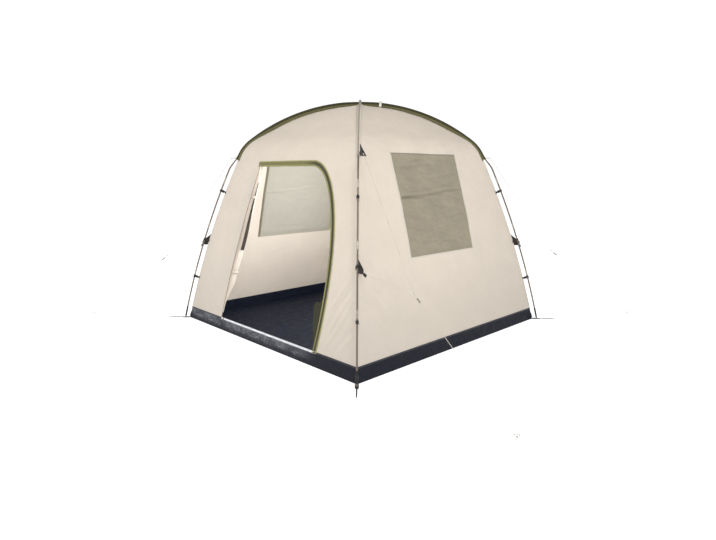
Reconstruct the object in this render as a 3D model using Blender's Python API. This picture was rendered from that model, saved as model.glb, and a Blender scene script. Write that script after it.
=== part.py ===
"""Square dome tent of cream cloth, pitched: four leaning walls, a four-gore roof, two crossed
poles held outside the cloth by clips and sleeves, a tray groundsheet, a zipped doorway with its
door rolled up, two windows, ring-and-pin feet, pegs, and three guy lines with bridles.

Frame: origin on the ground under the crown, +Z up, the door wall faces -Y. Metres.
"""
import math

import bmesh
import bpy
from mathutils import Matrix, Vector
from mathutils.geometry import tessellate_polygon

# Clearances
CLEAR = 0.0003            # between faces that touch
SEAM_SEAT = 0.0010        # sleeve base over the cloth
TAPE_SEAT = 0.0005        # zip tape over the cloth

# Tent body
SIDE = 2.50               # groundsheet, edge to edge
EAVE_WIDTH = 1.6228       # between opposite walls, where wall and roof lines would cross
EAVE_HEIGHT = 1.715
WALL_BULGE = 0.0368       # how far a wall bows out of its straight line at mid height
CROWN_HEIGHT = 2.13
SHOULDER_REACH = 0.070    # rounding on each side of the eave, along the corner
CLOTH = 0.002
WALL_ROWS = 12
ROOF_ROWS = 9
SHOULDER_ROWS = 4
TIP_HALF_WIDTH = 0.004    # half width of the small hole where the four gores meet

# Groundsheet tray
BAND_HEIGHT = 0.110
BAND_THICKNESS = 0.0025
FLOOR_THICKNESS = 0.003

# Doorway, in x and height on the door wall
DOOR_BELOW_EAVE = 0.175
DOOR_LEFT_TOP = -0.435
DOOR_LEFT_SILL = -0.640
ARCH_X = 0.325            # centre of the quarter ellipse that rounds the right side
ARCH_Z = 0.600
ARCH_WIDTH = 0.452
DOOR_RIGHT_SILL = 0.737
ARCH_STEPS = 12
JAMB_ROWS = 4

# Zip
TAPE_OVERHANG = 0.008     # beyond the cloth's cut edge, into the doorway
TAPE_WIDTH = 0.037        # over the cloth
SILL_TAPE_WIDTH = 0.010   # over the groundsheet's band
TAPE_THICKNESS = 0.003
TAPE_STUB = 0.030         # past the doorway's upper left corner
SLIDER_LENGTH = 0.012
SLIDER_PLATE = 0.0016
SLIDER_FIT = 0.0004
SLIDER_LAP = 0.012        # how far its front plate covers the tape
EYE_RADIUS = 0.0044
EYE_HOLE_RADIUS = 0.0022
EYE_WIDTH = 0.003
EYE_SEAT = 0.0004         # how far the eye sinks into the slider's front plate
PULL_LENGTH = 0.034
PULL_WIDTH = 0.009
PULL_THICKNESS = 0.002
PULL_GAP = 0.0007         # beside the eye
TOP_SLIDER_X = -0.400
SILL_SLIDER_X = -0.600

# Windows in both side walls
RIGHT_WINDOW_FRONT_Y = -0.470
RIGHT_WINDOW_REAR_Y = 0.390
LEFT_WINDOW_FRONT_Y = -0.485
LEFT_WINDOW_REAR_Y = 0.520
WINDOW_BOTTOM = 0.807
WINDOW_BELOW_EAVE = 0.081
WINDOW_LAP = 0.015        # how far the panel reaches behind the wall's cloth
WINDOW_THICKNESS = 0.0015

# Rolled door, held by two ties inside the left jamb
ROLL_BOTTOM = 0.170
ROLL_BELOW_DOOR_TOP = 0.075
ROLL_MIDDLE = 0.780
ROLL_RADIUS = 0.041
ROLL_END_RADIUS = 0.024
ROLL_BEHIND_JAMB = 0.024  # roll's axis from the jamb, away from the opening
ROLL_SIDES = 12
ROLL_ROWS = 14
TIE_FIT = 0.0006
TIE_SEAT = 0.0012         # between a tie and the wall's inner face
TIE_THICKNESS = 0.002
TIE_WIDTH = 0.020
TOP_TIE_BELOW_DOOR_TOP = 0.275
LOW_TIE_HEIGHT = 0.560

# Poles
POLE_RADIUS = 0.00635
POLE_SIDES = 8
POLE_STAND_OFF = 0.047    # leg's axis from the corner seam
FERRULE_RADIUS = 0.0076
FERRULE_LENGTH = 0.058
FERRULE_STEP = 0.0015     # slope at a ferrule's ends, along the pole
LOW_FERRULE = 0.478
MIDDLE_FERRULE = 0.945
FERRULE_BELOW_MOUTH = 0.215
LEG_CLOSES_BELOW_MOUTH = 0.120   # where a leg starts to close in on the sleeve
LEG_CLOSES_ABOVE_MOUTH = 0.060   # where it lies fully in
LEG_ROWS = 5
CROSSING_REACH = 0.180    # half length of the rise where one pole passes over the other

# Sleeves
MOUTH_BELOW_EAVE = 0.115  # lower ends of the sleeves
SLEEVE_FIT = 0.0006
SLEEVE_CLOTH = 0.0022
SLEEVE_FLANGE = 0.026     # from the ridge to the flange's edge
SLEEVE_CROWN_GAP = 0.070  # short sleeves stop this far from the crown

# Clips that hold the legs to the corner seams
LOW_CLIP = 0.424
MIDDLE_CLIP = 0.800
CLIP_BELOW_MOUTH = 0.315
CLIP_FIT = 0.0005
CLIP_WALL = 0.0026
CLIP_STRAP = 0.0024
CLIP_HEIGHT = 0.018
CLIP_HOOK_END_DEG = -75.0 # where the hook stops short of its strap

# Guy gussets
GUSSET_REACH = 0.062
GUSSET_THICKNESS = 0.0016
UPPER_GUSSET_RISE = 0.006    # its lower edge over the sleeve's mouth
UPPER_GUSSET_LENGTH = 0.034
LOWER_GUSSET_DROP = 0.040    # its lower edge under the middle clip
LOWER_GUSSET_LENGTH = 0.110
GUSSET_LIP = 0.010        # height of its outer edge
GUSSET_SEAT = 0.0006      # from the corner seam
UPPER_SWING_DEG = {"front_left": -15.0, "front_right": 30.0, "rear_right": 15.0, "rear_left": 15.0}
LOWER_SWING_DEG = {"front_left": -15.0, "front_right": 45.0, "rear_right": 15.0, "rear_left": 15.0}

# Feet and pegs
FOOT_THICKNESS = 0.003
TAB_WIDTH = 0.025
FOOT_RADIUS = 0.017
PEG_HOLE_RADIUS = 0.0055
PEG_LOBE_RADIUS = 0.0120
PEG_HOLE_BEYOND_POLE = 0.026
FOOT_PIN_RADIUS = 0.0026
FOOT_PIN_LENGTH = 0.050
FOOT_PIN_FIT = 0.0006
PEG_RADIUS = 0.0025
CORNER_PEG_LENGTH = 0.170
PEG_TURN_REACH = 0.0032   # from its neck to where it lies level over the foot
PEG_LEVEL_REACH = 0.014
PEG_DIP_REACH = 0.030     # past the foot's edge, where it starts down to the ground
PEG_LOW_REACH = 0.102
PEG_LOW_HEIGHT = 0.004
GUY_PEG_HEIGHT = 0.046
GUY_PEG_HOOK_RADIUS = 0.009
GUY_PEG_HOOK_DROP = 0.010
WIRE_SIDES = 8

# Guy lines
BRIDLE_DIAMETER = 0.003
GUY_DIAMETER = 0.0035
RUNNER_LENGTH = 0.034
RUNNER_RADIUS = 0.0065
RUNNER_WAIST_RADIUS = 0.0045
RUNNER_FIT = 0.0005
RUNNER_FROM_KNOT = 0.045
GUY_END_HEIGHT = 0.024    # where a line meets its peg
CORD_END_GAP = 0.0018     # from a cord's end to the face it is tied to
KNOT_BEND = 0.006         # radius of a bridle's bend at its knot
KNOT_STEPS = 6
# Places of knots and guy pegs: beyond the groundsheet's corner, sideways of it, and height
KNOTS = {"front_left": (0.214, -0.029, 0.638), "front_right": (0.138, 0.381, 0.689),
         "rear_right": (0.175, 0.060, 0.698)}
GUY_PEGS = {"front_left": (1.038, -0.064), "front_right": (0.793, 0.911), "rear_right": (1.046, 0.159)}

ROOT2 = math.sqrt(2.0)
UP = Vector((0.0, 0.0, 1.0))
CORNERS = {"front_left": (-1, -1), "front_right": (1, -1), "rear_right": (1, 1), "rear_left": (-1, 1)}
DOOR_TOP = EAVE_HEIGHT - DOOR_BELOW_EAVE
WINDOW_TOP = EAVE_HEIGHT - WINDOW_BELOW_EAVE
WINDOW_Y = {"right": (RIGHT_WINDOW_FRONT_Y, RIGHT_WINDOW_REAR_Y),
            "left": (LEFT_WINDOW_FRONT_Y, LEFT_WINDOW_REAR_Y)}
SLEEVE_MOUTH = EAVE_HEIGHT - MOUTH_BELOW_EAVE
ROLL_TOP = DOOR_TOP - ROLL_BELOW_DOOR_TOP
TIE_HEIGHTS = {"top": DOOR_TOP - TOP_TIE_BELOW_DOOR_TOP, "low": LOW_TIE_HEIGHT}
FERRULE_HEIGHTS = (LOW_FERRULE, MIDDLE_FERRULE, SLEEVE_MOUTH - FERRULE_BELOW_MOUTH)
CLIP_HEIGHTS = {"low": LOW_CLIP, "mid": MIDDLE_CLIP, "high": SLEEVE_MOUTH - CLIP_BELOW_MOUTH}


def make_material(name, colour, roughness, metallic=0.0):
    finish = bpy.data.materials.new(name)
    finish.use_nodes = True
    shader = finish.node_tree.nodes["Principled BSDF"]
    shader.inputs["Base Color"].default_value = (*colour, 1.0)
    shader.inputs["Roughness"].default_value = roughness
    shader.inputs["Metallic"].default_value = metallic
    return finish


def add_object(name, vertices, faces, finish, smooth=False):
    """One closed body from vertices and faces, with its faces turned outwards."""
    mesh = bpy.data.meshes.new(name)
    work = bmesh.new()
    points = [work.verts.new(vertex) for vertex in vertices]
    for face in faces:
        work.faces.new([points[index] for index in face])
    loose = [vertex for vertex in work.verts if not vertex.link_faces]
    bmesh.ops.delete(work, geom=loose, context="VERTS")
    bmesh.ops.recalc_face_normals(work, faces=work.faces)
    work.to_mesh(mesh)
    work.free()
    mesh.materials.append(finish)
    if smooth:
        mesh.shade_smooth()
        mesh.set_sharp_from_angle(angle=math.radians(40.0))
    part = bpy.data.objects.new(name, mesh)
    bpy.context.scene.collection.objects.link(part)
    return part


def place_origin(part, place):
    """Move a part's origin to its joint without moving its surface."""
    part.data.transform(Matrix.Translation(-place))
    part.location = place
    return part


def combine(part, tools, operation):
    """Join or cut part with helper objects, which stay in the file as hidden guides."""
    for tool in tools:
        tool.hide_render = True
        tool.display_type = "WIRE"
        step = part.modifiers.new(operation.lower(), "BOOLEAN")
        step.operation = operation
        step.solver = "EXACT"
        step.object = tool
    return part


def cap_faces(loops, offsets):
    """Triangles that close a flat end whose outer loop may have holes."""
    triangles = tessellate_polygon(loops)
    flat_index = [offset + i for loop, offset in zip(loops, offsets) for i in range(len(loop))]
    return [tuple(flat_index[i] for i in triangle) for triangle in triangles]


def loft(name, sections, finish, smooth=False):
    """Closed solid through sections; each section is a list of loops, outer first, bores after."""
    vertices = []
    starts = []
    for section in sections:
        starts.append([])
        for loop in section:
            starts[-1].append(len(vertices))
            vertices.extend(loop)
    faces = []
    for below, above in zip(starts, starts[1:]):
        for loop_index, loop in enumerate(sections[0]):
            count = len(loop)
            for i in range(count):
                j = (i + 1) % count
                faces.append((below[loop_index] + i, below[loop_index] + j,
                              above[loop_index] + j, above[loop_index] + i))
    for section, offsets in ((sections[0], starts[0]), (sections[-1], starts[-1])):
        faces.extend(cap_faces(section, offsets))
    return add_object(name, vertices, faces, finish, smooth)


def plate(name, loops, centre, axis_u, axis_v, thickness, finish):
    """Flat outline with optional holes, extruded evenly to both sides of its plane."""
    normal = axis_u.cross(axis_v).normalized()
    sections = []
    for side in (-0.5, 0.5):
        shift = centre + normal * (thickness * side)
        sections.append([[shift + axis_u * u + axis_v * v for u, v in loop] for loop in loops])
    return loft(name, sections, finish)


def circle(radius, sides, centre=(0.0, 0.0), phase=0.5):
    angles = [(i + phase) * math.tau / sides for i in range(sides)]
    return [(centre[0] + radius * math.cos(a), centre[1] + radius * math.sin(a)) for a in angles]


def arc(radius, start_deg, end_deg, steps, centre=(0.0, 0.0)):
    angles = [math.radians(start_deg + (end_deg - start_deg) * i / steps) for i in range(steps + 1)]
    return [(centre[0] + radius * math.cos(a), centre[1] + radius * math.sin(a)) for a in angles]


# The tent's line from ground to crown

def half_width(height):
    """Half the width of the tent's square outline at a height on the walls."""
    share = height / EAVE_HEIGHT
    straight = SIDE / 2.0 + (EAVE_WIDTH - SIDE) / 2.0 * share
    return straight + 4.0 * WALL_BULGE * share * (1.0 - share)


def wall_slope(height):
    """Half width that a wall loses per height."""
    share = height / EAVE_HEIGHT
    return ((SIDE - EAVE_WIDTH) / 2.0 - 4.0 * WALL_BULGE * (1.0 - 2.0 * share)) / EAVE_HEIGHT


def ridge_radius(height):
    return ROOT2 * half_width(height)


def roof_arc():
    """Radius of the roof's corner line, an arc through the crown and the eave corners."""
    reach = ridge_radius(EAVE_HEIGHT)
    rise = CROWN_HEIGHT - EAVE_HEIGHT
    return (reach * reach + rise * rise) / (2.0 * rise)


def roof_height(radius):
    bend = roof_arc()
    return CROWN_HEIGHT - bend + math.sqrt(bend * bend - radius * radius)


def wall_top():
    """Height at which the rounded shoulder starts."""
    return EAVE_HEIGHT - SHOULDER_REACH


def shoulder_point(t):
    """Quadratic curve from the wall's corner line to the roof's, as (radius, height)."""
    start = Vector((ridge_radius(wall_top()), wall_top()))
    bend = Vector((ridge_radius(EAVE_HEIGHT), EAVE_HEIGHT))
    roof_start = ridge_radius(EAVE_HEIGHT) - SHOULDER_REACH
    end = Vector((roof_start, roof_height(roof_start)))
    return start * (1 - t) ** 2 + bend * (2 * t * (1 - t)) + end * t * t


def roof_radii():
    """Radii of the roof rows from the shoulder in, closer together where the poles cross."""
    outer = ridge_radius(EAVE_HEIGHT) - SHOULDER_REACH
    wide = [outer + (CROSSING_REACH - outer) * i / ROOF_ROWS for i in range(1, ROOF_ROWS + 1)]
    close = [CROSSING_REACH * (1 - i / 5.0) for i in range(1, 5)]
    return wide + close


def roof_line():
    """Corner line of the roof from the wall's top to near the crown, as (radius, height)."""
    line = [shoulder_point(i / SHOULDER_ROWS) for i in range(SHOULDER_ROWS + 1)]
    line += [Vector((radius, roof_height(radius))) for radius in roof_radii()]
    return line


def line_normals(line):
    """Outward unit normals of a line of points that climbs inwards."""
    normals = []
    for i in range(len(line)):
        along = line[min(i + 1, len(line) - 1)] - line[max(i - 1, 0)]
        normals.append(Vector((along[1], -along[0])).normalized())
    return normals


def wall_normal(height):
    """Outward normal of the corner line on a wall, as (radius, height)."""
    return Vector((1.0, ROOT2 * wall_slope(height))).normalized()


# Cloth panels

SIDES = {"front": (Vector((1, 0, 0)), Vector((0, -1, 0))), "right": (Vector((0, 1, 0)), Vector((1, 0, 0))),
         "rear": (Vector((1, 0, 0)), Vector((0, 1, 0))), "left": (Vector((0, 1, 0)), Vector((-1, 0, 0)))}


def cloth_panel(name, side, rows, columns, is_hole, finish):
    """Closed panel on one side of the tent. columns(row, half) gives the places across it."""
    across, outward = SIDES[side]
    vertices = []
    for row, pair in enumerate(rows):
        for half, height in pair:
            for place in columns(row, half):
                vertices.append(across * place + outward * half + UP * height)
    count = len(columns(0, 1.0))

    def index(row, layer, column):
        return (row * 2 + layer) * count + column

    cells = {(r, c) for r in range(len(rows) - 1) for c in range(count - 1) if not is_hole(r, c)}
    faces = []
    for r, c in cells:
        for layer in (0, 1):
            faces.append((index(r, layer, c), index(r, layer, c + 1),
                          index(r + 1, layer, c + 1), index(r + 1, layer, c)))
        borders = {(r - 1, c): ((r, c), (r, c + 1)), (r + 1, c): ((r + 1, c), (r + 1, c + 1)),
                   (r, c - 1): ((r, c), (r + 1, c)), (r, c + 1): ((r, c + 1), (r + 1, c + 1))}
        for neighbour, (a, b) in borders.items():
            if neighbour not in cells:
                faces.append((index(a[0], 0, a[1]), index(b[0], 0, b[1]),
                              index(b[0], 1, b[1]), index(a[0], 1, a[1])))
    return add_object(name, vertices, faces, finish)


def mitre(half):
    """Half length of a panel's edge at a half width, short of the corner's mitre plane."""
    return half - CLEAR / ROOT2


def wall_heights(extra=()):
    bottom = BAND_HEIGHT + CLEAR
    even = [bottom + (wall_top() - bottom) * i / WALL_ROWS for i in range(WALL_ROWS + 1)]
    fixed = [bottom, wall_top()] + sorted(extra)
    free = [z for z in even if min(abs(z - f) for f in fixed) > 0.03]
    return sorted(set(fixed + free))


def wall_rows(heights, inset, thickness):
    """Outer and inner (half width, height) of each row of a wall; its foot is cut level."""
    rows = []
    for z in heights:
        point = Vector((half_width(z), z))
        slope = wall_slope(z) if z > BAND_HEIGHT + CLEAR else 0.0
        normal = Vector((1.0, slope)).normalized()
        rows.append((point - normal * inset, point - normal * (inset + thickness)))
    return rows


def plain_wall(name, side, finish):
    rows = wall_rows(wall_heights(), 0.0, CLOTH)
    return cloth_panel(name, side, rows, lambda row, half: (-mitre(half), mitre(half)),
                       lambda row, column: False, finish)


def window_wall(name, side, finish):
    heights = wall_heights((WINDOW_BOTTOM - WINDOW_LAP, WINDOW_BOTTOM, WINDOW_TOP))
    rows = wall_rows(heights, 0.0, CLOTH)

    def columns(row, half):
        return (-mitre(half), *WINDOW_Y[side], mitre(half))

    def is_hole(row, column):
        return column == 1 and WINDOW_BOTTOM - 1e-6 < heights[row] < WINDOW_TOP - 1e-6

    return cloth_panel(name, side, rows, columns, is_hole, finish)


def window_panel(name, side, finish):
    """Window curtain, sewn on behind the wall's cut-out."""
    marks = (WINDOW_BOTTOM - WINDOW_LAP, WINDOW_BOTTOM, WINDOW_TOP)
    heights = [z for z in wall_heights(marks) if marks[0] - 1e-6 < z <= wall_top()]
    rows = wall_rows(heights, CLOTH + CLEAR, WINDOW_THICKNESS)
    low, high = WINDOW_Y[side][0] - WINDOW_LAP, WINDOW_Y[side][1] + WINDOW_LAP
    return cloth_panel(name, side, rows, lambda row, half: (low, high), lambda row, column: False, finish)


def door_left(height):
    """Left jamb's place across the door wall."""
    share = (height - BAND_HEIGHT) / (DOOR_TOP - BAND_HEIGHT)
    return DOOR_LEFT_SILL + (DOOR_LEFT_TOP - DOOR_LEFT_SILL) * share


def door_right(height):
    """Right jamb's place: a quarter ellipse above, a slight curve to the sill below."""
    if height > ARCH_Z:
        share = min(1.0, (height - ARCH_Z) / (DOOR_TOP - ARCH_Z))
        return ARCH_X + ARCH_WIDTH * math.sqrt(max(0.0, 1.0 - share * share))
    share = (ARCH_Z - height) / (ARCH_Z - BAND_HEIGHT)
    return ARCH_X + ARCH_WIDTH + (DOOR_RIGHT_SILL - ARCH_X - ARCH_WIDTH) * share ** 2


def arch_heights():
    """Heights of the doorway rows, even along the arch."""
    steps = [math.radians(90.0 * i / ARCH_STEPS) for i in range(ARCH_STEPS + 1)]
    arch = [ARCH_Z + (DOOR_TOP - ARCH_Z) * math.sin(a) for a in steps]
    bottom = BAND_HEIGHT + CLEAR
    jamb = [bottom + (ARCH_Z - bottom) * i / JAMB_ROWS for i in range(JAMB_ROWS)]
    return jamb + arch


def door_wall(finish):
    heights = arch_heights() + [(DOOR_TOP + wall_top()) / 2.0, wall_top()]
    rows = wall_rows(heights, 0.0, CLOTH)

    def columns(row, half):
        z = min(heights[row], DOOR_TOP)
        return (-mitre(half), door_left(z), door_right(z), mitre(half))

    def is_hole(row, column):
        return column == 1 and heights[row] < DOOR_TOP - 1e-6

    return cloth_panel("door_wall", "front", rows, columns, is_hole, finish)


def roof_panel(name, side, finish):
    """Gore from the shoulder to the crown, ending in a tip as wide as the crown's small hole."""
    line = [Vector((radius / ROOT2, z)) for radius, z in roof_line()]
    line.append(Vector((TIP_HALF_WIDTH, roof_height(ROOT2 * TIP_HALF_WIDTH))))
    rows = [(point, point - normal * CLOTH) for point, normal in zip(line, line_normals(line))]
    seam = (line[1] - line[0]).normalized() * CLEAR
    rows[0] = tuple(point + seam for point in wall_rows([wall_top()], 0.0, CLOTH)[0])
    return cloth_panel(name, side, rows, lambda row, half: (-mitre(half), mitre(half)),
                       lambda row, column: False, finish)


def groundsheet(finish):
    """Tray: a flat floor with a leaning band all round."""
    top = half_width(BAND_HEIGHT)
    levels = [(half_width(0.0), 0.0), (top, BAND_HEIGHT), (top - BAND_THICKNESS, BAND_HEIGHT),
              (half_width(FLOOR_THICKNESS) - BAND_THICKNESS, FLOOR_THICKNESS)]
    signs = ((-1, -1), (1, -1), (1, 1), (-1, 1))
    sections = [[[Vector((sx * half, sy * half, z)) for sx, sy in signs]] for half, z in levels]
    return loft("groundsheet", sections, finish)


# Poles, sleeves, clips and feet, set out in the upright plane through a corner

def corner_axes(corner):
    """Outward and sideways unit vectors at a corner; sideways turns left seen from outside."""
    sx, sy = CORNERS[corner]
    outward = Vector((sx, sy, 0.0)).normalized()
    return outward, UP.cross(outward)


def lift(corner, point, sideways=0.0):
    """World place of a (radius, height) in a corner's plane."""
    outward, side = corner_axes(corner)
    return outward * point[0] + UP * point[1] + side * sideways


def sleeve_core():
    """Pole's axis over the cloth where it runs in a sleeve."""
    return SEAM_SEAT + SLEEVE_CLOTH + SLEEVE_FIT + POLE_RADIUS


def sleeve_half_width():
    return POLE_RADIUS + SLEEVE_FIT + SLEEVE_CLOTH


def crossing_rise(radius):
    """Extra height of the upper pole where it passes over the lower one's sleeve."""
    if radius >= CROSSING_REACH:
        return 0.0
    needed = sleeve_half_width() + CLEAR + POLE_RADIUS
    return needed * (1.0 + math.cos(math.pi * radius / CROSSING_REACH)) / 2.0


def entry_share(height):
    """1 on the free leg, 0 in the sleeve, smooth between."""
    high = SLEEVE_MOUTH + LEG_CLOSES_ABOVE_MOUTH
    low = SLEEVE_MOUTH - LEG_CLOSES_BELOW_MOUTH
    t = min(1.0, max(0.0, (high - height) / (high - low)))
    return t * t * (3.0 - 2.0 * t)


def stand_off(height):
    return sleeve_core() + (POLE_STAND_OFF - sleeve_core()) * entry_share(height)


class Station:
    """One place on a corner line: cloth point, pole axis and outward normal, all (radius, height)."""

    def __init__(self, cloth, normal, distance):
        self.cloth = cloth
        self.normal = normal
        self.axis = cloth + normal * distance


def leg_station(height):
    cloth = Vector((ridge_radius(height), height))
    return Station(cloth, wall_normal(height), stand_off(height))


def foot_station():
    """Lowest section of a leg, flat just above its foot plate."""
    height = FOOT_THICKNESS + CLEAR
    for _ in range(4):
        base = leg_station(height)
        height += FOOT_THICKNESS + CLEAR - base.axis[1]
    return leg_station(height)


def roof_stations(over):
    """Stations from the wall's top to the last row before the crown."""
    line = roof_line()
    stations = []
    for point, normal in zip(line, line_normals(line)):
        rise = crossing_rise(point[0]) if over else 0.0
        stations.append(Station(point, normal, sleeve_core() + rise))
    return stations


def crown_station(over):
    rise = crossing_rise(0.0) if over else 0.0
    return Station(Vector((0.0, CROWN_HEIGHT)), Vector((0.0, 1.0)), sleeve_core() + rise)


def pole_ring(corner, station, radius, level=False):
    """Round section of a pole; level makes it horizontal."""
    outward, side = corner_axes(corner)
    normal = Vector((1.0, 0.0)) if level else station.normal
    centre = lift(corner, station.axis)
    towards = outward * normal[0] + UP * normal[1]
    return [centre + towards * u + side * v for u, v in circle(radius, POLE_SIDES)]


def leg_marks():
    """Heights and radii of a leg's sections, with a step at each end of each ferrule."""
    marks = [(z, POLE_RADIUS) for z in CLIP_HEIGHTS.values()]
    closing = SLEEVE_MOUTH - LEG_CLOSES_BELOW_MOUTH
    marks += [(z, POLE_RADIUS) for z in (closing, (closing + SLEEVE_MOUTH) / 2.0) + mouth_heights()]
    taken = FERRULE_HEIGHTS + tuple(CLIP_HEIGHTS.values())
    for i in range(1, 2 * LEG_ROWS):
        z = closing * i / (2 * LEG_ROWS)
        if z > 2.0 * FOOT_PIN_LENGTH and min(abs(z - other) for other in taken) > FERRULE_LENGTH:
            marks.append((z, POLE_RADIUS))
    step = FERRULE_STEP
    for z in FERRULE_HEIGHTS:
        low, high = z - FERRULE_LENGTH / 2.0, z + FERRULE_LENGTH / 2.0
        marks += [(low, POLE_RADIUS), (low + step, FERRULE_RADIUS)]
        marks += [(high - step, FERRULE_RADIUS), (high, POLE_RADIUS)]
    return sorted(marks)


def leg_heading(corner):
    """Direction of a leg's straight lowest stretch."""
    first = leg_station(leg_marks()[0][0])
    return (lift(corner, first.axis) - lift(corner, foot_station().axis)).normalized()


def pole_leg(corner, finish):
    base = foot_station()
    sections = [[pole_ring(corner, base, POLE_RADIUS, level=True)]]
    for height, radius in leg_marks():
        sections.append([pole_ring(corner, leg_station(height), radius)])
    top = roof_stations(False)[0]
    top.axis -= Vector((-top.normal[1], top.normal[0])) * CLEAR
    sections.append([pole_ring(corner, top, POLE_RADIUS)])
    leg = loft("pole_leg_" + corner, sections, finish, smooth=True)
    heading = leg_heading(corner)
    bore = rod("bore_" + corner, lift(corner, base.axis) - heading * 0.01, heading,
               FOOT_PIN_LENGTH + 0.014, FOOT_PIN_RADIUS + FOOT_PIN_FIT, finish)
    return combine(leg, [bore], "DIFFERENCE")


def rod(name, start, heading, length, radius, finish):
    """Straight round bar."""
    side = heading.cross(Vector((0.31, -0.77, 0.11))).normalized()
    other = heading.cross(side)
    rings = []
    for distance in (0.0, length):
        centre = start + heading * distance
        rings.append([[centre + side * u + other * v for u, v in circle(radius, WIRE_SIDES)]])
    return loft(name, rings, finish)


def pole_arc(name, corners, over, finish):
    """Roof part of a pole, from one wall's top over the crown to the opposite one."""
    near, far = corners
    half = roof_stations(over)
    sections = [[pole_ring(near, station, POLE_RADIUS)] for station in half]
    sections.append([pole_ring(near, crown_station(over), POLE_RADIUS)])
    for station in reversed(half):
        mirrored = Station(station.cloth, station.normal, 0.0)
        mirrored.axis = station.axis
        ring = pole_ring(far, mirrored, POLE_RADIUS)
        sections.append([mirror_ring(ring)])
    return loft(name, sections, finish, smooth=True)


def mirror_ring(ring):
    """Reorder a ring built at the far corner so that it follows the near corner's order."""
    count = len(ring)
    return [ring[(-i - 1) % count] for i in range(count)]


def panel_normals(corner, normal):
    """Normals of the two panels that meet on a corner line with this (radius, height) normal."""
    sx, sy = CORNERS[corner]
    level, rise = normal[0] * ROOT2, normal[1]
    return Vector((sx * level, 0.0, rise)).normalized(), Vector((0.0, sy * level, rise)).normalized()


def flange_runs(corner, normals, along):
    """Directions down both panels from a corner line, square to the sleeve; left first."""
    sx, sy = CORNERS[corner]
    side = corner_axes(corner)[1]
    runs = []
    for normal, turn in zip(normals, (-sx * sy, sx * sy)):
        run = normal.cross(along).normalized()
        runs.append(run if run.dot(side) * turn > 0.0 else -run)
    return runs


def sleeve_section(corner, station, tangent):
    """Outline of a sleeve: flanges on both panels, a hump over the pole, and the pole's bore."""
    outward, side = corner_axes(corner)
    towards = (outward * station.normal[0] + UP * station.normal[1]).normalized()
    along = (outward * tangent[0] + UP * tangent[1]).normalized()
    normals = panel_normals(corner, station.normal)
    flanges = sorted(zip(flange_runs(corner, normals, along), normals), key=lambda f: -f[0].dot(side))
    base = lift(corner, station.cloth) + towards * SEAM_SEAT
    core = lift(corner, station.axis)
    half = sleeve_half_width()
    hump = [core + side * u + towards * v for u, v in arc(half, 0.0, 180.0, 4)]
    left, left_normal = flanges[0]
    right, right_normal = flanges[1]
    left_tip = base + left * SLEEVE_FLANGE
    right_tip = base + right * SLEEVE_FLANGE
    left_foot = base + left * (half / left.dot(side)) + left_normal * SLEEVE_CLOTH
    right_foot = base - right * (half / right.dot(side)) + right_normal * SLEEVE_CLOTH
    outer = [left_tip, left_tip + left_normal * SLEEVE_CLOTH, left_foot] + hump
    outer += [right_foot, right_tip + right_normal * SLEEVE_CLOTH, right_tip, base]
    bore = [core + towards * u + side * v for u, v in circle(POLE_RADIUS + SLEEVE_FIT, POLE_SIDES)]
    return [outer, bore]


def tangent_of(stations, i):
    before = stations[max(i - 1, 0)]
    after = stations[min(i + 1, len(stations) - 1)]
    return (after.axis - before.axis).normalized()


def mouth_heights():
    """Heights of the sections between a sleeve's lower end and the wall's top."""
    return SLEEVE_MOUTH, (SLEEVE_MOUTH + wall_top()) / 2.0


def mouth_stations():
    return [leg_station(height) for height in mouth_heights()]


def sleeve_half(corner, stations):
    return [sleeve_section(corner, stations[i], tangent_of(stations, i)) for i in range(len(stations))]


def mirror_section(section):
    """Reorder a far corner's section to follow the near corner's order."""
    outer, bore = section
    turned = list(reversed(outer[:-1])) + [outer[-1]]
    return [turned, mirror_ring(bore)]


def long_sleeve(name, corners, finish):
    """Sleeve from one shoulder over the crown to the opposite shoulder."""
    near, far = corners
    stations = mouth_stations() + roof_stations(False)
    whole = stations + [crown_station(False)]
    sections = sleeve_half(near, whole)
    sections += [mirror_section(section) for section in reversed(sleeve_half(far, whole)[:-1])]
    return loft(name, sections, finish)


def short_sleeve(name, corner, finish):
    """Sleeve from a shoulder to just short of the crown."""
    stations = mouth_stations() + [s for s in roof_stations(True) if s.cloth[0] > SLEEVE_CROWN_GAP]
    return loft(name, sleeve_half(corner, stations), finish)


def gusset_heading(corner, swing_deg):
    outward, side = corner_axes(corner)
    swing = math.radians(swing_deg)
    return outward * math.cos(swing) + side * math.sin(swing)


def upper_gusset_points(corner):
    """Inner edge of the patch on the flank of a sleeve's lower end, low point first."""
    sideways = math.copysign(sleeve_half_width() - SLEEVE_CLOTH / 2.0, UPPER_SWING_DEG[corner])
    points = []
    low = SLEEVE_MOUTH + UPPER_GUSSET_RISE
    for height in (low, low + UPPER_GUSSET_LENGTH):
        station = leg_station(height)
        points.append(lift(corner, station.axis - station.normal * (POLE_RADIUS / 2.0), sideways))
    return points


def lower_gusset_points(corner):
    """Inner edge of the patch along the corner seam, low point first."""
    low = MIDDLE_CLIP - LOWER_GUSSET_DROP
    heights = (low, low + LOWER_GUSSET_LENGTH)
    return [lift(corner, (ridge_radius(z) + GUSSET_SEAT, z)) for z in heights]


def gusset(name, inner_edge, heading, finish):
    """Triangular guy patch with its tip cut to a short edge."""
    low, high = inner_edge
    tip = low + heading * GUSSET_REACH
    normal = heading.cross(high - low).normalized() * (GUSSET_THICKNESS / 2.0)
    outline = [low, tip, tip + UP * GUSSET_LIP, high]
    return loft(name, [[[p - normal for p in outline]], [[p + normal for p in outline]]], finish)


def upper_gusset(corner, finish):
    heading = gusset_heading(corner, UPPER_SWING_DEG[corner])
    return gusset("upper_gusset_" + corner, upper_gusset_points(corner), heading, finish)


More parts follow.
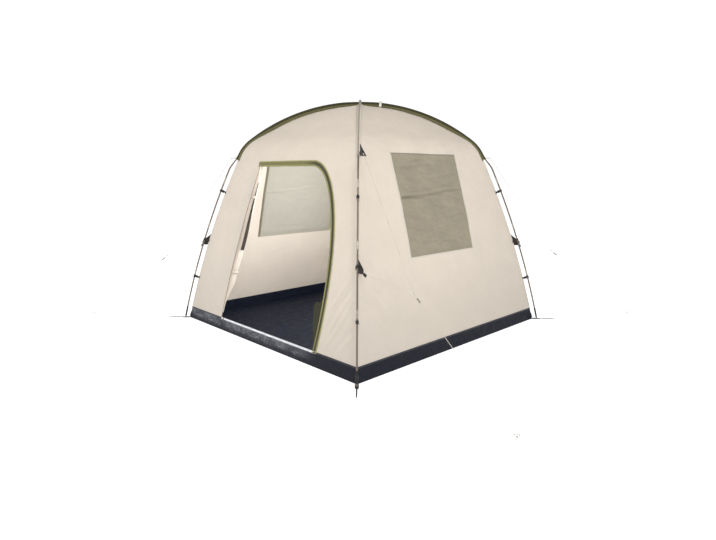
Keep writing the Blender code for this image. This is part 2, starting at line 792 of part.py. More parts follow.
def lower_gusset(corner, finish):
    heading = gusset_heading(corner, LOWER_SWING_DEG[corner])
    return gusset("lower_gusset_" + corner, lower_gusset_points(corner), heading, finish)


def clip(corner, level, finish):
    """Hook round the pole on a strap from the corner seam, as one moulded outline."""
    height = CLIP_HEIGHTS[level]
    station = leg_station(height)
    outward, side = corner_axes(corner)
    towards = outward * station.normal[0] + UP * station.normal[1]
    inner = POLE_RADIUS + CLIP_FIT
    outer = inner + CLIP_WALL
    strap = CLIP_STRAP / 2.0
    outer_neck = math.degrees(math.asin(strap / outer))
    inner_neck = math.degrees(math.asin(strap / inner))
    start = 1.5 * CLEAR - stand_off(height)
    outline = [(start, strap)]
    outline += arc(outer, 180.0 - outer_neck, CLIP_HOOK_END_DEG, 8)
    outline += arc(inner, CLIP_HOOK_END_DEG, 180.0 + inner_neck, 8)
    outline.append((start, -strap))
    centre = lift(corner, station.axis)
    return plate("clip_%s_%s" % (corner, level), [outline], centre, towards, side, CLIP_HEIGHT, finish)


def foot_outline():
    """Foot plate seen from above: tab, round plate and peg lobe; u points outwards from the pole."""
    tab = TAB_WIDTH / 2.0
    notch = SIDE / ROOT2 + CLEAR * ROOT2 - foot_station().axis[0]
    lobe = PEG_HOLE_BEYOND_POLE
    upper = [(notch - tab, tab)]
    upper += arc(FOOT_RADIUS, 120.0, 50.0, 4)
    upper += arc(PEG_LOBE_RADIUS, 75.0, 0.0, 4, (lobe, 0.0))
    lower = [(u, -v) for u, v in reversed(upper[:-1])] + [(notch, 0.0)]
    hole = circle(PEG_HOLE_RADIUS, WIRE_SIDES, (lobe, 0.0))
    return [upper + lower, hole]


def pole_foot(corner, finish):
    """Webbing tab with a plate and the pin that stands in the pole's end."""
    outward, side = corner_axes(corner)
    base = foot_station()
    centre = outward * base.axis[0] + UP * (FOOT_THICKNESS / 2.0)
    foot = plate("pole_foot_" + corner, foot_outline(), centre, outward, side, FOOT_THICKNESS, finish)
    start = lift(corner, base.axis)
    heading = leg_heading(corner)
    sunk = FOOT_THICKNESS / 2.0 + CLEAR
    pin = rod("pin_" + corner, start - heading * sunk, heading, FOOT_PIN_LENGTH + sunk, FOOT_PIN_RADIUS, finish)
    return combine(foot, [pin], "UNION")


def wire(name, points, radius, sideways, finish):
    """Round wire along a bent path that stays in one plane, square to sideways."""
    sections = []
    for i, point in enumerate(points):
        along = (points[min(i + 1, len(points) - 1)] - points[max(i - 1, 0)]).normalized()
        other = sideways.cross(along).normalized()
        sections.append([[point + sideways * u + other * v for u, v in circle(radius, WIRE_SIDES)]])
    return loft(name, sections, finish, smooth=True)


def corner_peg(corner, finish):
    """Hooked peg in the foot's lobe, lying outwards along the ground."""
    side = corner_axes(corner)[1]
    start = foot_station().axis[0] + PEG_HOLE_BEYOND_POLE
    over = FOOT_THICKNESS + 2.0 * CLEAR + PEG_RADIUS
    profile = [(0.0, CLEAR), (0.0, over * 0.5), (PEG_TURN_REACH * 0.3, over * 0.82),
               (PEG_TURN_REACH, over), (PEG_LEVEL_REACH, over), (PEG_DIP_REACH, over * 0.9),
               (PEG_LOW_REACH, PEG_LOW_HEIGHT), (CORNER_PEG_LENGTH, PEG_RADIUS + CLEAR)]
    points = [lift(corner, (start + run, height)) for run, height in profile]
    return wire("corner_peg_" + corner, points, PEG_RADIUS, side, finish)


def guy_peg(name, foot, heading, finish):
    """Head of a driven peg: a short shank, cut flat at the ground, and a hook facing away."""
    side = UP.cross(heading)
    bend = GUY_PEG_HOOK_RADIUS
    neck = GUY_PEG_HEIGHT - bend
    profile = [(0.0, 0.0), (0.0, neck * 0.5), (0.0, neck)]
    profile += [(bend - x, neck + z) for x, z in arc(bend, 30.0, 180.0, 5)]
    profile.append((2.0 * bend, neck - GUY_PEG_HOOK_DROP))
    points = [foot + heading * run + UP * height for run, height in profile]
    return wire(name, points, PEG_RADIUS, side, finish)


# Zip, sliders and pulls on the door wall

def door_surface(x, height, distance):
    """World place at a distance out from the door wall's face."""
    normal = Vector((0.0, -1.0, wall_slope(height))).normalized()
    return Vector((x, -half_width(height), height)) + normal * distance


def arch_point(angle_deg, grow):
    """Point on the doorway's arch, moved outwards by grow."""
    a = math.radians(angle_deg)
    rise = DOOR_TOP - ARCH_Z
    normal = Vector((math.cos(a) / ARCH_WIDTH, math.sin(a) / rise)).normalized()
    return Vector((ARCH_X + ARCH_WIDTH * math.cos(a), ARCH_Z + rise * math.sin(a))) + normal * grow


def zip_pairs():
    """Inner and outer edge of the zip tape along the doorway, as (x, height)."""
    inner_top, outer_top = DOOR_TOP - TAPE_OVERHANG, DOOR_TOP + TAPE_WIDTH
    pairs = []
    for x in (DOOR_LEFT_TOP - TAPE_STUB, (DOOR_LEFT_TOP + ARCH_X) / 2.0):
        pairs.append(((x, inner_top), (x, outer_top)))
    for i in range(ARCH_STEPS + 1):
        angle = 90.0 - 90.0 * i / ARCH_STEPS
        pairs.append((arch_point(angle, -TAPE_OVERHANG), arch_point(angle, TAPE_WIDTH)))
    bottom = BAND_HEIGHT + CLEAR
    for i in range(1, JAMB_ROWS):
        z = ARCH_Z - (ARCH_Z - bottom) * i / JAMB_ROWS
        pairs.append(((door_right(z) - TAPE_OVERHANG, z), (door_right(z) + TAPE_WIDTH, z)))
    sill_high, sill_low = BAND_HEIGHT + TAPE_OVERHANG, BAND_HEIGHT - SILL_TAPE_WIDTH
    pairs.append(((DOOR_RIGHT_SILL - TAPE_OVERHANG, sill_high + 0.02), (DOOR_RIGHT_SILL + TAPE_WIDTH, 0.16)))
    pairs.append(((DOOR_RIGHT_SILL - TAPE_OVERHANG, sill_high), (DOOR_RIGHT_SILL + TAPE_WIDTH, sill_low)))
    for x in (DOOR_RIGHT_SILL - 0.04, 0.0, DOOR_LEFT_SILL):
        pairs.append(((x, sill_high), (x, sill_low)))
    return pairs


def door_zip(finish):
    sections = []
    for inner, outer in zip_pairs():
        ring = [door_surface(inner[0], inner[1], TAPE_SEAT), door_surface(outer[0], outer[1], TAPE_SEAT),
                door_surface(outer[0], outer[1], TAPE_SEAT + TAPE_THICKNESS),
                door_surface(inner[0], inner[1], TAPE_SEAT + TAPE_THICKNESS)]
        sections.append([ring])
    return loft("door_zip", sections, finish)


def slider_frame(x, height):
    """Centre and axes of a slider: along the zip, out from the wall, and up the wall."""
    slope = wall_slope(height)
    outward = Vector((0.0, -1.0, slope)).normalized()
    upward = Vector((0.0, slope, 1.0)).normalized()
    return Vector((x, -half_width(height), height)), outward, upward


def free_edge(height):
    """How far the tape's free edge stands beyond the cloth, measured up the leaning wall."""
    return TAPE_OVERHANG * math.hypot(1.0, wall_slope(height))


def slider_depths():
    """Distances out from the wall of the slider's back plate, tape channel and front face."""
    channel_back = TAPE_SEAT - SLIDER_FIT
    channel_front = TAPE_SEAT + TAPE_THICKNESS + SLIDER_FIT
    return channel_back - SLIDER_PLATE, channel_back, channel_front, channel_front + SLIDER_PLATE


def eye_place(x, height, sense):
    """Centre of a slider's eye; sense is 1 where the slider hangs from the zip, -1 where it rides on it."""
    origin, outward, upward = slider_frame(x, height)
    depth = slider_depths()[3] + EYE_RADIUS - EYE_SEAT
    return origin + outward * depth - upward * (sense * free_edge(height) / 2.0)


def zip_slider(name, x, height, sense, finish):
    """Slider clasping the tape's free edge, with an eye for its pull."""
    origin, outward, upward = slider_frame(x, height)
    back, channel_back, channel_front, front = slider_depths()
    edge = free_edge(height) + SLIDER_FIT
    outline = [(back, -(edge + SLIDER_PLATE)), (front, -(edge + SLIDER_PLATE)), (front, SLIDER_LAP - edge),
               (channel_front, SLIDER_LAP - edge), (channel_front, -edge), (channel_back, -edge),
               (channel_back, -SLIDER_FIT * 3.0), (back, -SLIDER_FIT * 3.0)]
    outline = [(u, v * sense) for u, v in outline]
    body = plate(name, [outline], origin, outward, upward, SLIDER_LENGTH, finish)
    place_origin(body, origin)
    eye = plate("eye_" + name, [circle(EYE_RADIUS, 12), circle(EYE_HOLE_RADIUS, 12)],
                eye_place(x, height, sense), outward, upward, EYE_WIDTH, finish)
    return combine(body, [eye], "UNION")


def zip_pull(name, x, height, sense, finish):
    """Pull tab hanging in the slider's eye by the bar across its window."""
    pivot = eye_place(x, height, sense)
    bar = PULL_THICKNESS / 2.0
    half = PULL_WIDTH / 2.0
    window = EYE_WIDTH / 2.0 + PULL_GAP
    drop = EYE_RADIUS + PULL_GAP
    outer = [(-half, bar), (-half, -drop), (-half * 0.75, -PULL_LENGTH * 0.92), (-half * 0.4, -PULL_LENGTH),
             (half * 0.4, -PULL_LENGTH), (half * 0.75, -PULL_LENGTH * 0.92), (half, -drop), (half, bar)]
    hole = [(-window, -bar), (-window, -drop), (window, -drop), (window, -bar)]
    tab = plate(name, [outer, hole], pivot, Vector((1, 0, 0)), UP, PULL_THICKNESS, finish)
    return place_origin(tab, pivot)


# Rolled door

def roll_radius(height):
    """Radius of the rolled door: fullest at its middle, slimmer to both ends."""
    end = ROLL_TOP if height > ROLL_MIDDLE else ROLL_BOTTOM
    share = (height - ROLL_MIDDLE) / (end - ROLL_MIDDLE)
    return ROLL_END_RADIUS + (ROLL_RADIUS - ROLL_END_RADIUS) * math.cos(share * math.pi / 2.0)


def roll_axis(height):
    """Centre of the roll behind the left jamb, clear of the wall by the thickness of its ties."""
    flat = math.cos(math.pi / ROLL_SIDES)
    depth = CLOTH + TIE_SEAT + (TIE_THICKNESS + TIE_FIT + roll_radius(height)) * flat
    return door_surface(door_left(height) - ROLL_BEHIND_JAMB, height, -depth)


def roll_frame(height):
    along = (roll_axis(height + 0.01) - roll_axis(height - 0.01)).normalized()
    side = along.cross(Vector((0, 1, 0))).normalized()
    return roll_axis(height), side, along.cross(side)


def roll_ring(height, radius):
    centre, side, other = roll_frame(height)
    return [centre + side * u + other * v for u, v in circle(radius, ROLL_SIDES)]


def door_roll(finish):
    span = ROLL_TOP - ROLL_BOTTOM
    heights = [ROLL_BOTTOM + span * i / ROLL_ROWS for i in range(ROLL_ROWS + 1)]
    heights = [z for z in heights if min(abs(z - t) for t in TIE_HEIGHTS.values()) > 0.03]
    heights = sorted(heights + list(TIE_HEIGHTS.values()))
    sections = [[roll_ring(ROLL_BOTTOM - 0.008, ROLL_END_RADIUS * 0.6)]]
    sections += [[roll_ring(z, roll_radius(z))] for z in heights]
    sections.append([roll_ring(ROLL_TOP + 0.008, ROLL_END_RADIUS * 0.6)])
    return loft("door_roll", sections, finish, smooth=True)


def roll_tie(level, finish):
    """Webbing loop round the rolled door."""
    height = TIE_HEIGHTS[level]
    centre, side, other = roll_frame(height)
    inner = roll_radius(height) + TIE_FIT
    loops = [circle(inner + TIE_THICKNESS, ROLL_SIDES), circle(inner, ROLL_SIDES)]
    return plate("roll_tie_" + level, loops, centre, side, other, TIE_WIDTH, finish)


# Guy lines

def cord(name, points, diameter, finish):
    curve = bpy.data.curves.new(name, "CURVE")
    curve.dimensions = "3D"
    curve.bevel_depth = diameter / 2.0
    curve.bevel_resolution = 2
    curve.use_fill_caps = True
    spline = curve.splines.new("POLY")
    spline.points.add(len(points) - 1)
    for place, point in zip(spline.points, points):
        place.co = (*point, 1.0)
    curve.materials.append(finish)
    line = bpy.data.objects.new(name, curve)
    bpy.context.scene.collection.objects.link(line)
    return line


def beyond_corner(corner, place):
    """World place from (beyond the groundsheet's corner, sideways, height)."""
    beyond, sideways, height = place
    return lift(corner, (SIDE / ROOT2 + beyond, height), sideways)


def knot(corner):
    return beyond_corner(corner, KNOTS[corner])


def guy_peg_foot(corner):
    return beyond_corner(corner, (*GUY_PEGS[corner], 0.0))


def gusset_tip(inner_edge, heading):
    """Where a bridle's end is tied, just beyond the middle of the patch's outer edge."""
    return inner_edge[0] + heading * (GUSSET_REACH + CORD_END_GAP) + UP * (GUSSET_LIP / 2.0)


def bridle_points(corner):
    """From the upper patch to the knot, round its bend, and back to the lower patch."""
    upper = gusset_tip(upper_gusset_points(corner), gusset_heading(corner, UPPER_SWING_DEG[corner]))
    lower = gusset_tip(lower_gusset_points(corner), gusset_heading(corner, LOWER_SWING_DEG[corner]))
    middle = knot(corner)
    to_upper = (upper - middle).normalized()
    to_lower = (lower - middle).normalized()
    bisector = (to_upper + to_lower).normalized()
    opening = to_upper.angle(to_lower) / 2.0
    centre = middle + bisector * (KNOT_BEND / math.sin(opening))
    across = (to_upper - to_lower).normalized()
    turn = math.pi / 2.0 - opening
    bend = []
    for i in range(KNOT_STEPS + 1):
        angle = turn * (1.0 - 2.0 * i / KNOT_STEPS)
        bend.append(centre + (across * math.sin(angle) - bisector * math.cos(angle)) * KNOT_BEND)
    return [upper] + bend + [lower]


def guy_points(corner):
    """From the bridle's bend to the peg."""
    bend = bridle_points(corner)[1 + KNOT_STEPS // 2]
    foot = guy_peg_foot(corner)
    level = Vector((foot.x - bend.x, foot.y - bend.y, 0.0)).normalized()
    end = foot - level * (PEG_RADIUS + CORD_END_GAP) + UP * GUY_END_HEIGHT
    heading = (end - bend).normalized()
    start = bend + heading * (BRIDLE_DIAMETER / 2.0 + CORD_END_GAP / 2.0)
    return [start, (start + end) / 2.0, end]


def runner(corner, finish):
    """Line tensioner: a waisted barrel with the line through its bore."""
    start, _, end = guy_points(corner)
    heading = (end - start).normalized()
    side = heading.cross(UP).normalized()
    other = heading.cross(side)
    bore = GUY_DIAMETER / 2.0 + RUNNER_FIT
    sections = []
    for share, radius in ((0.0, RUNNER_RADIUS), (0.25, RUNNER_RADIUS), (0.42, RUNNER_WAIST_RADIUS),
                          (0.58, RUNNER_WAIST_RADIUS), (0.75, RUNNER_RADIUS), (1.0, RUNNER_RADIUS)):
        centre = start + heading * (RUNNER_FROM_KNOT + RUNNER_LENGTH * share)
        rings = [circle(radius, 12), circle(bore, 12)]
        sections.append([[centre + side * u + other * v for u, v in ring] for ring in rings])
    barrel = loft("runner_" + corner, sections, finish, smooth=True)
    return place_origin(barrel, start + heading * RUNNER_FROM_KNOT)


def guy_line(corner, line_finish, runner_finish, peg_finish):
    """Bridle, main line, runner and peg of one guy."""
    cord("bridle_" + corner, bridle_points(corner), BRIDLE_DIAMETER, line_finish)
    points = guy_points(corner)
    cord("guy_line_" + corner, points, GUY_DIAMETER, line_finish)
    runner(corner, runner_finish)
    foot = guy_peg_foot(corner)
    level = Vector((points[-1].x - points[0].x, points[-1].y - points[0].y, 0.0)).normalized()
    guy_peg("guy_peg_" + corner, foot, level, peg_finish)


def build():
    for old in list(bpy.data.objects):
        bpy.data.objects.remove(old, do_unlink=True)

    cream = make_material("cream_cloth", (0.74, 0.68, 0.57), 0.85)
    olive = make_material("olive_tape", (0.11, 0.11, 0.03), 0.75)
    greige = make_material("greige_cloth", (0.45, 0.39, 0.32), 0.85)
    navy = make_material("navy_sheet", (0.018, 0.021, 0.036), 0.55)
    taupe = make_material("taupe_curtain", (0.36, 0.31, 0.23), 0.80)
    bronze = make_material("bronze_pole", (0.21, 0.15, 0.11), 0.35, 0.3)
    steel = make_material("steel", (0.55, 0.55, 0.56), 0.30, 1.0)
    webbing = make_material("dark_webbing", (0.030, 0.024, 0.020), 0.80)
    line_finish = make_material("guy_cord", (0.70, 0.68, 0.62), 0.80)

    groundsheet(navy)
    door_wall(cream)
    window_wall("right_wall", "right", cream)
    window_wall("left_wall", "left", cream)
    plain_wall("rear_wall", "rear", cream)
    for side in SIDES:
        roof_panel("roof_" + side, side, cream)
    window_panel("window_right", "right", taupe)
    window_panel("window_left", "left", taupe)

    long = long_sleeve("sleeve_olive", ("front_left", "rear_right"), olive)
    combine(long, [upper_gusset("front_left", webbing), upper_gusset("rear_right", webbing)], "UNION")
    for corner in ("front_right", "rear_left"):
        short = short_sleeve("sleeve_" + corner, corner, greige)
        combine(short, [upper_gusset(corner, webbing)], "UNION")

    pole_arc("pole_arc_under", ("front_left", "rear_right"), False, bronze)
    pole_arc("pole_arc_over", ("front_right", "rear_left"), True, bronze)
    for corner in CORNERS:
        pole_leg(corner, bronze)
        pole_foot(corner, steel)
        corner_peg(corner, steel)
        for level in CLIP_HEIGHTS:
            hook = clip(corner, level, webbing)
            if level == "mid":
                combine(hook, [lower_gusset(corner, webbing)], "UNION")

    door_zip(olive)
    zip_slider("zip_slider_top", TOP_SLIDER_X, DOOR_TOP, 1, steel)
    zip_slider("zip_slider_sill", SILL_SLIDER_X, BAND_HEIGHT, -1, steel)
    zip_pull("zip_pull_top", TOP_SLIDER_X, DOOR_TOP, 1, olive)
    zip_pull("zip_pull_sill", SILL_SLIDER_X, BAND_HEIGHT, -1, olive)
    door_roll(cream)
    for level in TIE_HEIGHTS:
        roll_tie(level, olive)
    for corner in KNOTS:
        guy_line(corner, line_finish, webbing, steel)


build()
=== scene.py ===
"""Looks of a pitched square dome tent: cloth, tapes, poles, cords, fittings, light and camera."""
import math
import random

import bmesh
import bpy
import numpy as np
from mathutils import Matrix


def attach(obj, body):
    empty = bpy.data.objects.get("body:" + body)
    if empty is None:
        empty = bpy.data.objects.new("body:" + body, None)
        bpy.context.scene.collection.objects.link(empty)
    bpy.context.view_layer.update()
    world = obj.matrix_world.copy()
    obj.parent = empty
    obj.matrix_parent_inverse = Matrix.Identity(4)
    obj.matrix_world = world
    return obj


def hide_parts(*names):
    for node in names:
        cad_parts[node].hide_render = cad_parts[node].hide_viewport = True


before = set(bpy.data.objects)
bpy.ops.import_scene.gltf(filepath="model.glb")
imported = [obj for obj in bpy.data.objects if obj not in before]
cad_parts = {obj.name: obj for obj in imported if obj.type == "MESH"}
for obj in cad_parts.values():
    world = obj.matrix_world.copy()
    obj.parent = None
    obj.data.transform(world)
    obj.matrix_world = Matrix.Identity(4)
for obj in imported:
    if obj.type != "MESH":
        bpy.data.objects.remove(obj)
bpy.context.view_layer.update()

# Sizes of the model, as in its source, in metres
CLEAR = 0.0003
SIDE = 2.50
EAVE_WIDTH = 1.6228
EAVE_HEIGHT = 1.715
WALL_BULGE = 0.0368
CROWN_HEIGHT = 2.13
SHOULDER_REACH = 0.070
CLOTH = 0.002
BAND_HEIGHT = 0.110
BAND_THICKNESS = 0.0025
FLOOR_THICKNESS = 0.003
DOOR_TOP = 1.540
DOOR_LEFT_TOP = -0.435
DOOR_LEFT_SILL = -0.640
ARCH_X = 0.325
ARCH_Z = 0.600
ARCH_WIDTH = 0.452
ARCH_HEIGHT = DOOR_TOP - ARCH_Z
DOOR_RIGHT_SILL = 0.737
TAPE_SEAT = 0.0005
TAPE_OVERHANG = 0.008
TAPE_WIDTH = 0.037
TAPE_STUB = 0.030
WINDOW_Y = {"right": (-0.470, 0.390), "left": (-0.485, 0.520)}
WINDOW_Z = (0.807, 1.634)
WINDOW_LAP = 0.015
ROLL_Z = (0.170, 1.465)
ROLL_MIDDLE = 0.780
ROLL_RADIUS = 0.041
ROLL_END_RADIUS = 0.024
ROLL_BEHIND_JAMB = 0.024
ROLL_DEPTH = 0.0058
TIE_HEIGHTS = {"top": 1.265, "low": 0.560}
POLE_RADIUS = 0.00635
POLE_STAND_OFF = 0.047
FERRULE_LENGTH = 0.058
FERRULE_HEIGHTS = (0.478, 0.945, 1.385)
CROSSING_REACH = 0.180
SLEEVE_MOUTH = 1.600
SLEEVE_FIT = 0.0006
SLEEVE_CLOTH = 0.0022
SLEEVE_FLANGE = 0.026
SLEEVE_CROWN_GAP = 0.070
SEAM_SEAT = 0.0010
CLIP_HEIGHTS = {"low": 0.424, "mid": 0.800, "high": 1.285}
GUSSET_REACH = 0.062
UPPER_SWING_DEG = {"front_left": -15.0, "front_right": 30.0, "rear_right": 15.0, "rear_left": 15.0}
LOWER_SWING_DEG = {"front_left": -15.0, "front_right": 45.0, "rear_right": 15.0, "rear_left": 15.0}
UPPER_GUSSET_RISE = 0.006
LOWER_GUSSET_DROP = 0.040
GUSSET_LIP = 0.010
LOWER_GUSSET_LIP = 0.036
GUSSET_SEAT = 0.0006
PEG_RADIUS = 0.0025
GUY_END_HEIGHT = 0.024
CORD_END_GAP = 0.0018
KNOT_BEND = 0.006
KNOT_STEPS = 6
FOOT_HEIGHT = 0.0033
# Places of knots and guy pegs: beyond the groundsheet's corner, sideways of it, and height
KNOTS = {"front_left": (0.214, -0.029, 0.638), "front_right": (0.138, 0.381, 0.689),
         "rear_right": (0.175, 0.060, 0.698)}
GUY_PEGS = {"front_left": (1.038, -0.064), "front_right": (0.793, 0.911), "rear_right": (1.046, 0.159)}
CORD_LENGTHS = {"front_left": (1.582, 1.036), "front_right": (1.6293, 1.0771), "rear_right": (1.4666, 1.1103)}

# Sizes of the dressed pieces
SKIN_CLOTH = CLOTH * 0.6        # thickness of the dressed cloth
THIN_CLOTH = 0.0009             # thickness of curtains and of the zip's flap
TOOTH_PITCH = 0.0040
CROWN_TIP = 0.004               # half width of a roof gore at the crown
SCOOP = 0.0075                  # how far walls and roof are drawn inwards at their middle
HANG = 0.021                    # how far the roof's cloth hangs below the poles' line
LEG_RADIUS = 0.0071
BRIDLE_WIDTH = 0.003
GUY_WIDTH = 0.0035
ROLL_TURNS = 8.9
REINFORCEMENT = (0.074, 0.096)  # width and height of the triangles beside the sleeves' mouths
REINFORCED = {"front_left": "left", "front_right": "right", "rear_right": "rear", "rear_left": "left"}

ROOT2 = math.sqrt(2.0)
UP = np.array([0.0, 0.0, 1.0])
CORNERS = {"front_left": (-1, -1), "front_right": (1, -1), "rear_right": (1, 1), "rear_left": (-1, 1)}
# Each side's directions along it and outwards
SIDES = {"front": np.array([(1.0, 0.0, 0.0), (0.0, -1.0, 0.0)]),
         "right": np.array([(0.0, 1.0, 0.0), (1.0, 0.0, 0.0)]),
         "rear": np.array([(1.0, 0.0, 0.0), (0.0, 1.0, 0.0)]),
         "left": np.array([(0.0, 1.0, 0.0), (-1.0, 0.0, 0.0)])}


# Camera, at the photograph's angle

camera_data = bpy.data.cameras.new("camera")
camera_data.lens = 26.84
camera_data.sensor_width = 36.0
camera = bpy.data.objects.new("camera", camera_data)
camera.location = (3.829, -3.733, 1.481)
camera.rotation_euler = (math.radians(79.637), 0.0, math.radians(45.97))
bpy.context.scene.collection.objects.link(camera)
bpy.context.scene.camera = camera


# Vector tools

def unit(vectors):
    vectors = np.asarray(vectors, float)
    return vectors / np.maximum(np.linalg.norm(vectors, axis=-1, keepdims=True), 1e-12)


def smooth_step(value, low, high):
    t = np.clip((np.asarray(value, float) - low) / (high - low), 0.0, 1.0)
    return t * t * (3.0 - 2.0 * t)


def pair(first, second):
    """Two values side by side in one last axis."""
    return np.stack(np.broadcast_arrays(first, second), axis=-1)


def lengths(points):
    """Distance along a line of points, from its start."""
    steps = np.linalg.norm(np.diff(points, axis=0), axis=1)
    return np.concatenate([[0.0], np.cumsum(steps)])


def even(points, step):
    """The same line with points an even step apart, ends kept."""
    points = np.asarray(points, float)
    run = lengths(points)
    places = np.linspace(0.0, run[-1], max(2, int(round(run[-1] / step)) + 1))
    return np.stack([np.interp(places, run, points[:, i]) for i in range(points.shape[1])], axis=1)


def headings(points):
    return unit(np.gradient(points, axis=0))


def full_turn(count):
    return np.linspace(0.0, math.tau, count, endpoint=False)


def around(centre, first, second, angles, reach, other_reach=None):
    """Places at angles about a centre, turning from the first direction to the second."""
    other_reach = reach if other_reach is None else other_reach
    along_first, along_second = reach * np.cos(angles), other_reach * np.sin(angles)
    return centre + first * along_first[..., None] + second * along_second[..., None]


def waves(u, v, wavelength, seed, count=14):
    """Smooth unrepeating ripples of about one wavelength, between about -1 and 1."""
    draw = random.Random(seed)
    total = np.zeros(np.broadcast(u, v).shape)
    for _ in range(count):
        turn = draw.uniform(0.0, math.pi)
        reach = math.tau / (wavelength * draw.uniform(0.75, 1.45))
        phase = draw.uniform(0.0, math.tau)
        total += np.sin(reach * (u * math.cos(turn) + v * math.sin(turn)) + phase)
    return total / math.sqrt(count)


def ridge(off, width):
    """Rounded ridge: 1 on its line, falling away over its width."""
    return np.exp(-(off / width) ** 2)


# Mesh tools

def add_mesh(name, points, faces, loop_uvs, material, sharp_deg=40.0):
    """Smooth piece from points and faces, its faces turned outwards, with a map in metres."""
    mesh = bpy.data.meshes.new(name)
    mesh.from_pydata(np.asarray(points).tolist(), [], faces)
    layer = mesh.uv_layers.new(name="cloth")
    layer.uv.foreach_set("vector", np.asarray(loop_uvs, np.float32).ravel())
    work = bmesh.new()
    work.from_mesh(mesh)
    loose = [vertex for vertex in work.verts if not vertex.link_faces]
    bmesh.ops.delete(work, geom=loose, context="VERTS")
    bmesh.ops.recalc_face_normals(work, faces=work.faces)
    work.to_mesh(mesh)
    work.free()
    mesh.shade_smooth()
    mesh.set_sharp_from_angle(angle=math.radians(sharp_deg))
    mesh.materials.append(material)
    piece = bpy.data.objects.new(name, mesh)
    bpy.context.scene.collection.objects.link(piece)
    return piece


def dress(piece, slot, *nodes):
    """Hang a piece on the tent's body and hide the CAD nodes that it stands for; slot, its finish, is not
    used.
    """
    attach(piece, "tent")
    if nodes:
        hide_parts(*nodes)
    return piece


def grid_normals(points, towards):
    """Unit normals of a grid, on the side that towards points to."""
    normals = unit(np.cross(np.gradient(points, axis=1), np.gradient(points, axis=0)))
    turn = np.sign((normals * towards).sum(axis=-1, keepdims=True))
    return normals * np.where(turn == 0.0, 1.0, turn)


def shell(name, outer, inner, uv, material, keep=None, inner_finish=None):
    """Closed sheet between two grids of points; keep says which cells are cloth."""
    rows, columns = outer.shape[:2]
    keep = np.ones((rows - 1, columns - 1), bool) if keep is None else keep
    top = np.arange(rows * columns).reshape(rows, columns)
    under = top + rows * columns
    quads = []
    for layer in (top, under):
        cells = np.stack([layer[:-1, :-1], layer[:-1, 1:], layer[1:, 1:], layer[1:, :-1]], axis=-1)
        quads.append(cells[keep])
    ringed = np.pad(keep, 1)
    upright = ringed[1:-1, :-1] != ringed[1:-1, 1:]
    level = ringed[:-1, 1:-1] != ringed[1:, 1:-1]
    quads.append(np.stack([top[:-1], top[1:], under[1:], under[:-1]], axis=-1)[upright])
    quads.append(np.stack([top[:, :-1], top[:, 1:], under[:, 1:], under[:, :-1]], axis=-1)[level])
    faces = np.concatenate(quads)
    points = np.concatenate([outer.reshape(-1, 3), inner.reshape(-1, 3)])
    flat_uv = np.concatenate([uv.reshape(-1, 2)] * 2)
    piece = add_mesh(name, points, faces.tolist(), flat_uv[faces.ravel()], material)
    if inner_finish:
        piece.data.materials.append(inner_finish)
        inner_faces = (faces >= rows * columns).all(axis=1)
        piece.data.polygons.foreach_set("material_index", inner_faces.astype(np.int32))
    return piece


def join_mitres(piece, distance):
    """Join the strips of a tray at its corners and drop the walls left between them."""
    work = bmesh.new()
    work.from_mesh(piece.data)
    bmesh.ops.remove_doubles(work, verts=work.verts, dist=distance)
    inside = [face for face in work.faces
              if all(abs(abs(v.co.x) - abs(v.co.y)) < distance for v in face.verts)]
    bmesh.ops.delete(work, geom=inside, context="FACES")
    bmesh.ops.recalc_face_normals(work, faces=work.faces)
    work.to_mesh(piece.data)
    work.free()
    piece.data.set_sharp_from_angle(angle=math.radians(40.0))


def sweep(name, centres, across, outward, profile, material, closed=False, tape=False):
    """Closed form along a line; profile is a ring of (across, outward) offsets, or one per place.

    The map goes round the form, or for a tape from its one edge to the other.
    """
    centres = np.asarray(centres, float)
    count = len(centres)
    across = np.broadcast_to(across, (count, 3))
    outward = np.broadcast_to(outward, (count, 3))
    profile = np.broadcast_to(profile, (count,) + np.shape(profile)[-2:])
    sides = profile.shape[1]
    points = (centres[:, None] + across[:, None] * profile[..., 0, None]
              + outward[:, None] * profile[..., 1, None])
    run = lengths(centres)
    ring = profile[count // 2]
    ring = np.concatenate([ring, ring[:1]])
    girth = ring[:, 0] - ring[:, 0].min() if tape else lengths(ring)
    if closed:
        run = np.append(run, run[-1] + np.linalg.norm(centres[0] - centres[-1]))
    faces, uvs = [], []
    for i in range(count if closed else count - 1):
        near, far = i * sides, (i + 1) % count * sides
        for j in range(sides):
            k = (j + 1) % sides
            faces.append((near + j, near + k, far + k, far + j))
            uvs += [(run[i], girth[j]), (run[i], girth[j + 1]),
                    (run[i + 1], girth[j + 1]), (run[i + 1], girth[j])]
    if not closed:
        for start in (0, count - 1):
            faces.append(tuple(range(start * sides, (start + 1) * sides)))
            uvs += [tuple(offset) for offset in profile[start]]
    return add_mesh(name, points.reshape(-1, 3), faces, uvs, material)


def strip(width, thickness, lift_off=0.0):
    """Ring of a flat tape with rounded edges, centred across and standing from lift_off."""
    half, edge = width / 2.0, width * 0.04
    low, high = lift_off, lift_off + thickness
    low_edge, high_edge = low + thickness * 0.3, high - thickness * 0.3
    return np.array([(-half + edge, low), (0.0, low), (half - edge, low), (half, low_edge), (half, high_edge),
                     (half - edge, high), (0.0, high), (-half + edge, high), (-half, high_edge),
                     (-half, low_edge)])


def ribbon(name, centres, across, outward, width, thickness, material, closed=False, lift_off=0.0):
    """Tape along a line, its width the same or one for each place."""
    widths = np.broadcast_to(width, (len(centres),))
    profile = strip(1.0, thickness, lift_off) * pair(widths, 1.0)[:, None]
    return sweep(name, centres, across, outward, profile, material, closed, tape=True)


def along_frames(centres, towards):
    """Across and outward vectors square to a line, outward nearest to towards."""
    along = headings(centres)
    across = unit(np.cross(along, towards))
    return across, np.cross(across, along)


